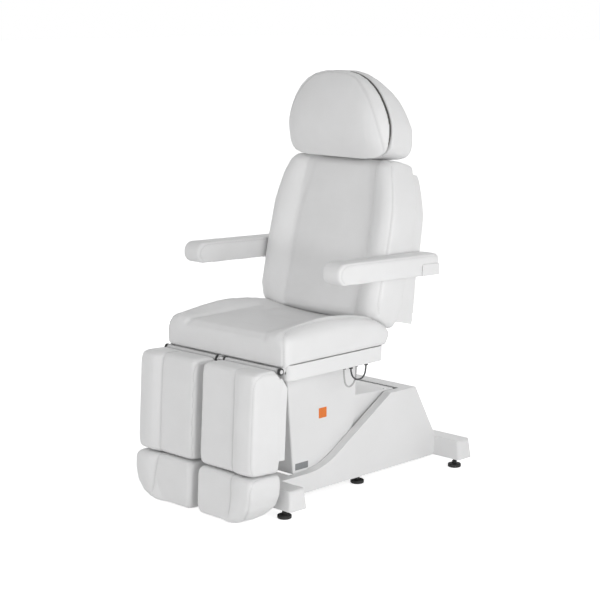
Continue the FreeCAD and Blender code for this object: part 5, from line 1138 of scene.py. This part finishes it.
def screw(name, place, body):
    """A domed head: rings of radius * reach, and a hexagon where reach is the socket's."""
    reach, height = np.array(SCREW_PROFILE).T
    turn = np.arange(SCREW_SIDES) * 2 * math.pi / SCREW_SIDES
    hexagon = math.cos(math.pi / 6) / np.cos(turn % (math.pi / 3) - math.pi / 6)
    shape = np.where((reach <= 0.5)[:, None], hexagon, 1.0) * reach[:, None]
    rings = np.stack([shape * np.cos(turn), shape * np.sin(turn),
                      np.repeat(height[:, None], SCREW_SIDES, 1)], 2)
    stack(name, np.array(place) + SCREW_RADIUS * rings, body, STEEL)


flat_tag("orange_tile", TILE, 0.0008, TILE_ORANGE)
flat_tag("grey_plate", PLATE, 0.0006, PLATE_GREY)
for side_name, side_sign in SIDES:
    screw("cover_screw_" + side_name, (0.142 * side_sign, 0.267, 0.3243), "upper_arm")

# %% [markdown]
# ## Studio floor
# The chair stands on plain white with a faint shadow round its feet. A very bright lamp
# would burn the floor white, and the chair's pale covers with it. So the floor is a matt
# plane that keeps the shadow, and rays from the camera and from mirror-like surfaces also
# see a glow on it, which lights nothing.

# %% Studio floor
FLOOR_HALF = 60
FLOOR_LEVEL = -0.001
FLOOR_GLOW = 0.8


def white_floor():
    """Shown level = lit white + glow, where the glow is 0.8 for camera and glossy rays."""
    across = FLOOR_HALF * np.array([(-1, -1), (1, -1), (1, 1), (-1, 1)])
    mesh = bpy.data.meshes.new("floor")
    mesh.from_pydata([(x, y, FLOOR_LEVEL) for x, y in across.tolist()], [], [(0, 1, 2, 3)])
    plane = link(bpy.data.objects.new("floor", mesh))
    finish = Finish("white_floor", 0.9)
    finish.shader.inputs["Base Color"].default_value = (0.8, 0.8, 0.8, 1)
    finish.shader.inputs["Specular IOR Level"].default_value = 0.0
    seen = finish.seen_directly("Is Camera Ray", "Is Glossy Ray")
    glow = finish.node("ShaderNodeEmission", Strength=FLOOR_GLOW * seen)
    both = finish.node("ShaderNodeAddShader", _0=finish.shader.outputs[0],
                       _1=glow.outputs[0])
    surface = finish.tree.nodes["Material Output"].inputs["Surface"]
    finish.feed(surface, both.outputs[0])
    clothe(plane, finish.material)
    print("floor", 2 * FLOOR_HALF, "m wide")


white_floor()

# %% [markdown]
# ## Sky and lamps
# The soft light of a studio comes from all round. One even sky would make tops brighter than
# the photograph's, so this one is bright at the horizon and dim overhead. Camera, glossy and
# transmission rays see plain white in its place. A soft key lamp lights the chair's left
# side, a weak fill its front, and a low one its rear, which only other views show.

# %% Sky and lamps
SKY_STRENGTH = 1.64
SKY_STOPS = ((0.0, grey(1.0)), (0.2, grey(0.55)), (0.45, grey(0.17)), (0.75, grey(0.31)))
LAMPS = (("key", (2.6, -0.6, 1.15), (0, 0, 0.6), 1.6, 0.9, 25),
         ("fill", (0.2, -2.8, 0.45), (0, -0.4, 0.5), 1.6, 0.8, 8),
         ("rear", (-2.4, 2.2, 0.22), (0, 0.1, 0.8), 1.8, 0.4, 12))


def sky():
    """Light = SKY_STRENGTH * the ramp at the height of the ray's direction."""
    world = bpy.data.worlds.new("sky")
    world.use_nodes = True
    graph = Graph(world.node_tree)
    place = graph.node("ShaderNodeTexCoord").outputs["Generated"]
    height = graph.node("ShaderNodeSeparateXYZ", Vector=place).outputs["Z"]
    shade = graph.node("ShaderNodeValToRGB", {"stops": SKY_STOPS}, Fac=height)
    lighting = world.node_tree.nodes["Background"]
    graph.feed(lighting.inputs["Color"], shade.outputs["Color"])
    graph.feed(lighting.inputs["Strength"], SKY_STRENGTH)
    backdrop = graph.node("ShaderNodeBackground", Color=(1, 1, 1, 1), Strength=1.0)
    seen = graph.seen_directly("Is Camera Ray", "Is Glossy Ray", "Is Transmission Ray")
    choice = graph.node("ShaderNodeMixShader", _0=seen, _1=lighting.outputs[0],
                        _2=backdrop.outputs[0])
    graph.feed(world.node_tree.nodes["World Output"].inputs["Surface"], choice.outputs[0])
    bpy.context.scene.world = world


def light_panel(name, place, aim, width, height, power):
    """A rectangle of light at place that faces the aim."""
    lamp = bpy.data.lights.new(name, "AREA")
    lamp.shape = "RECTANGLE"
    lamp.size = width
    lamp.size_y = height
    lamp.energy = power
    holder = link(bpy.data.objects.new(name, lamp))
    holder.location = place
    holder.rotation_euler = (Vector(aim) - Vector(place)).to_track_quat("-Z", "Y").to_euler()
    print(name, "lamp,", power, "W")


sky()
for lamp_facts in LAMPS:
    light_panel(*lamp_facts)
bpy.context.scene.view_settings.view_transform = "Standard"

# %% Finish
note_size()
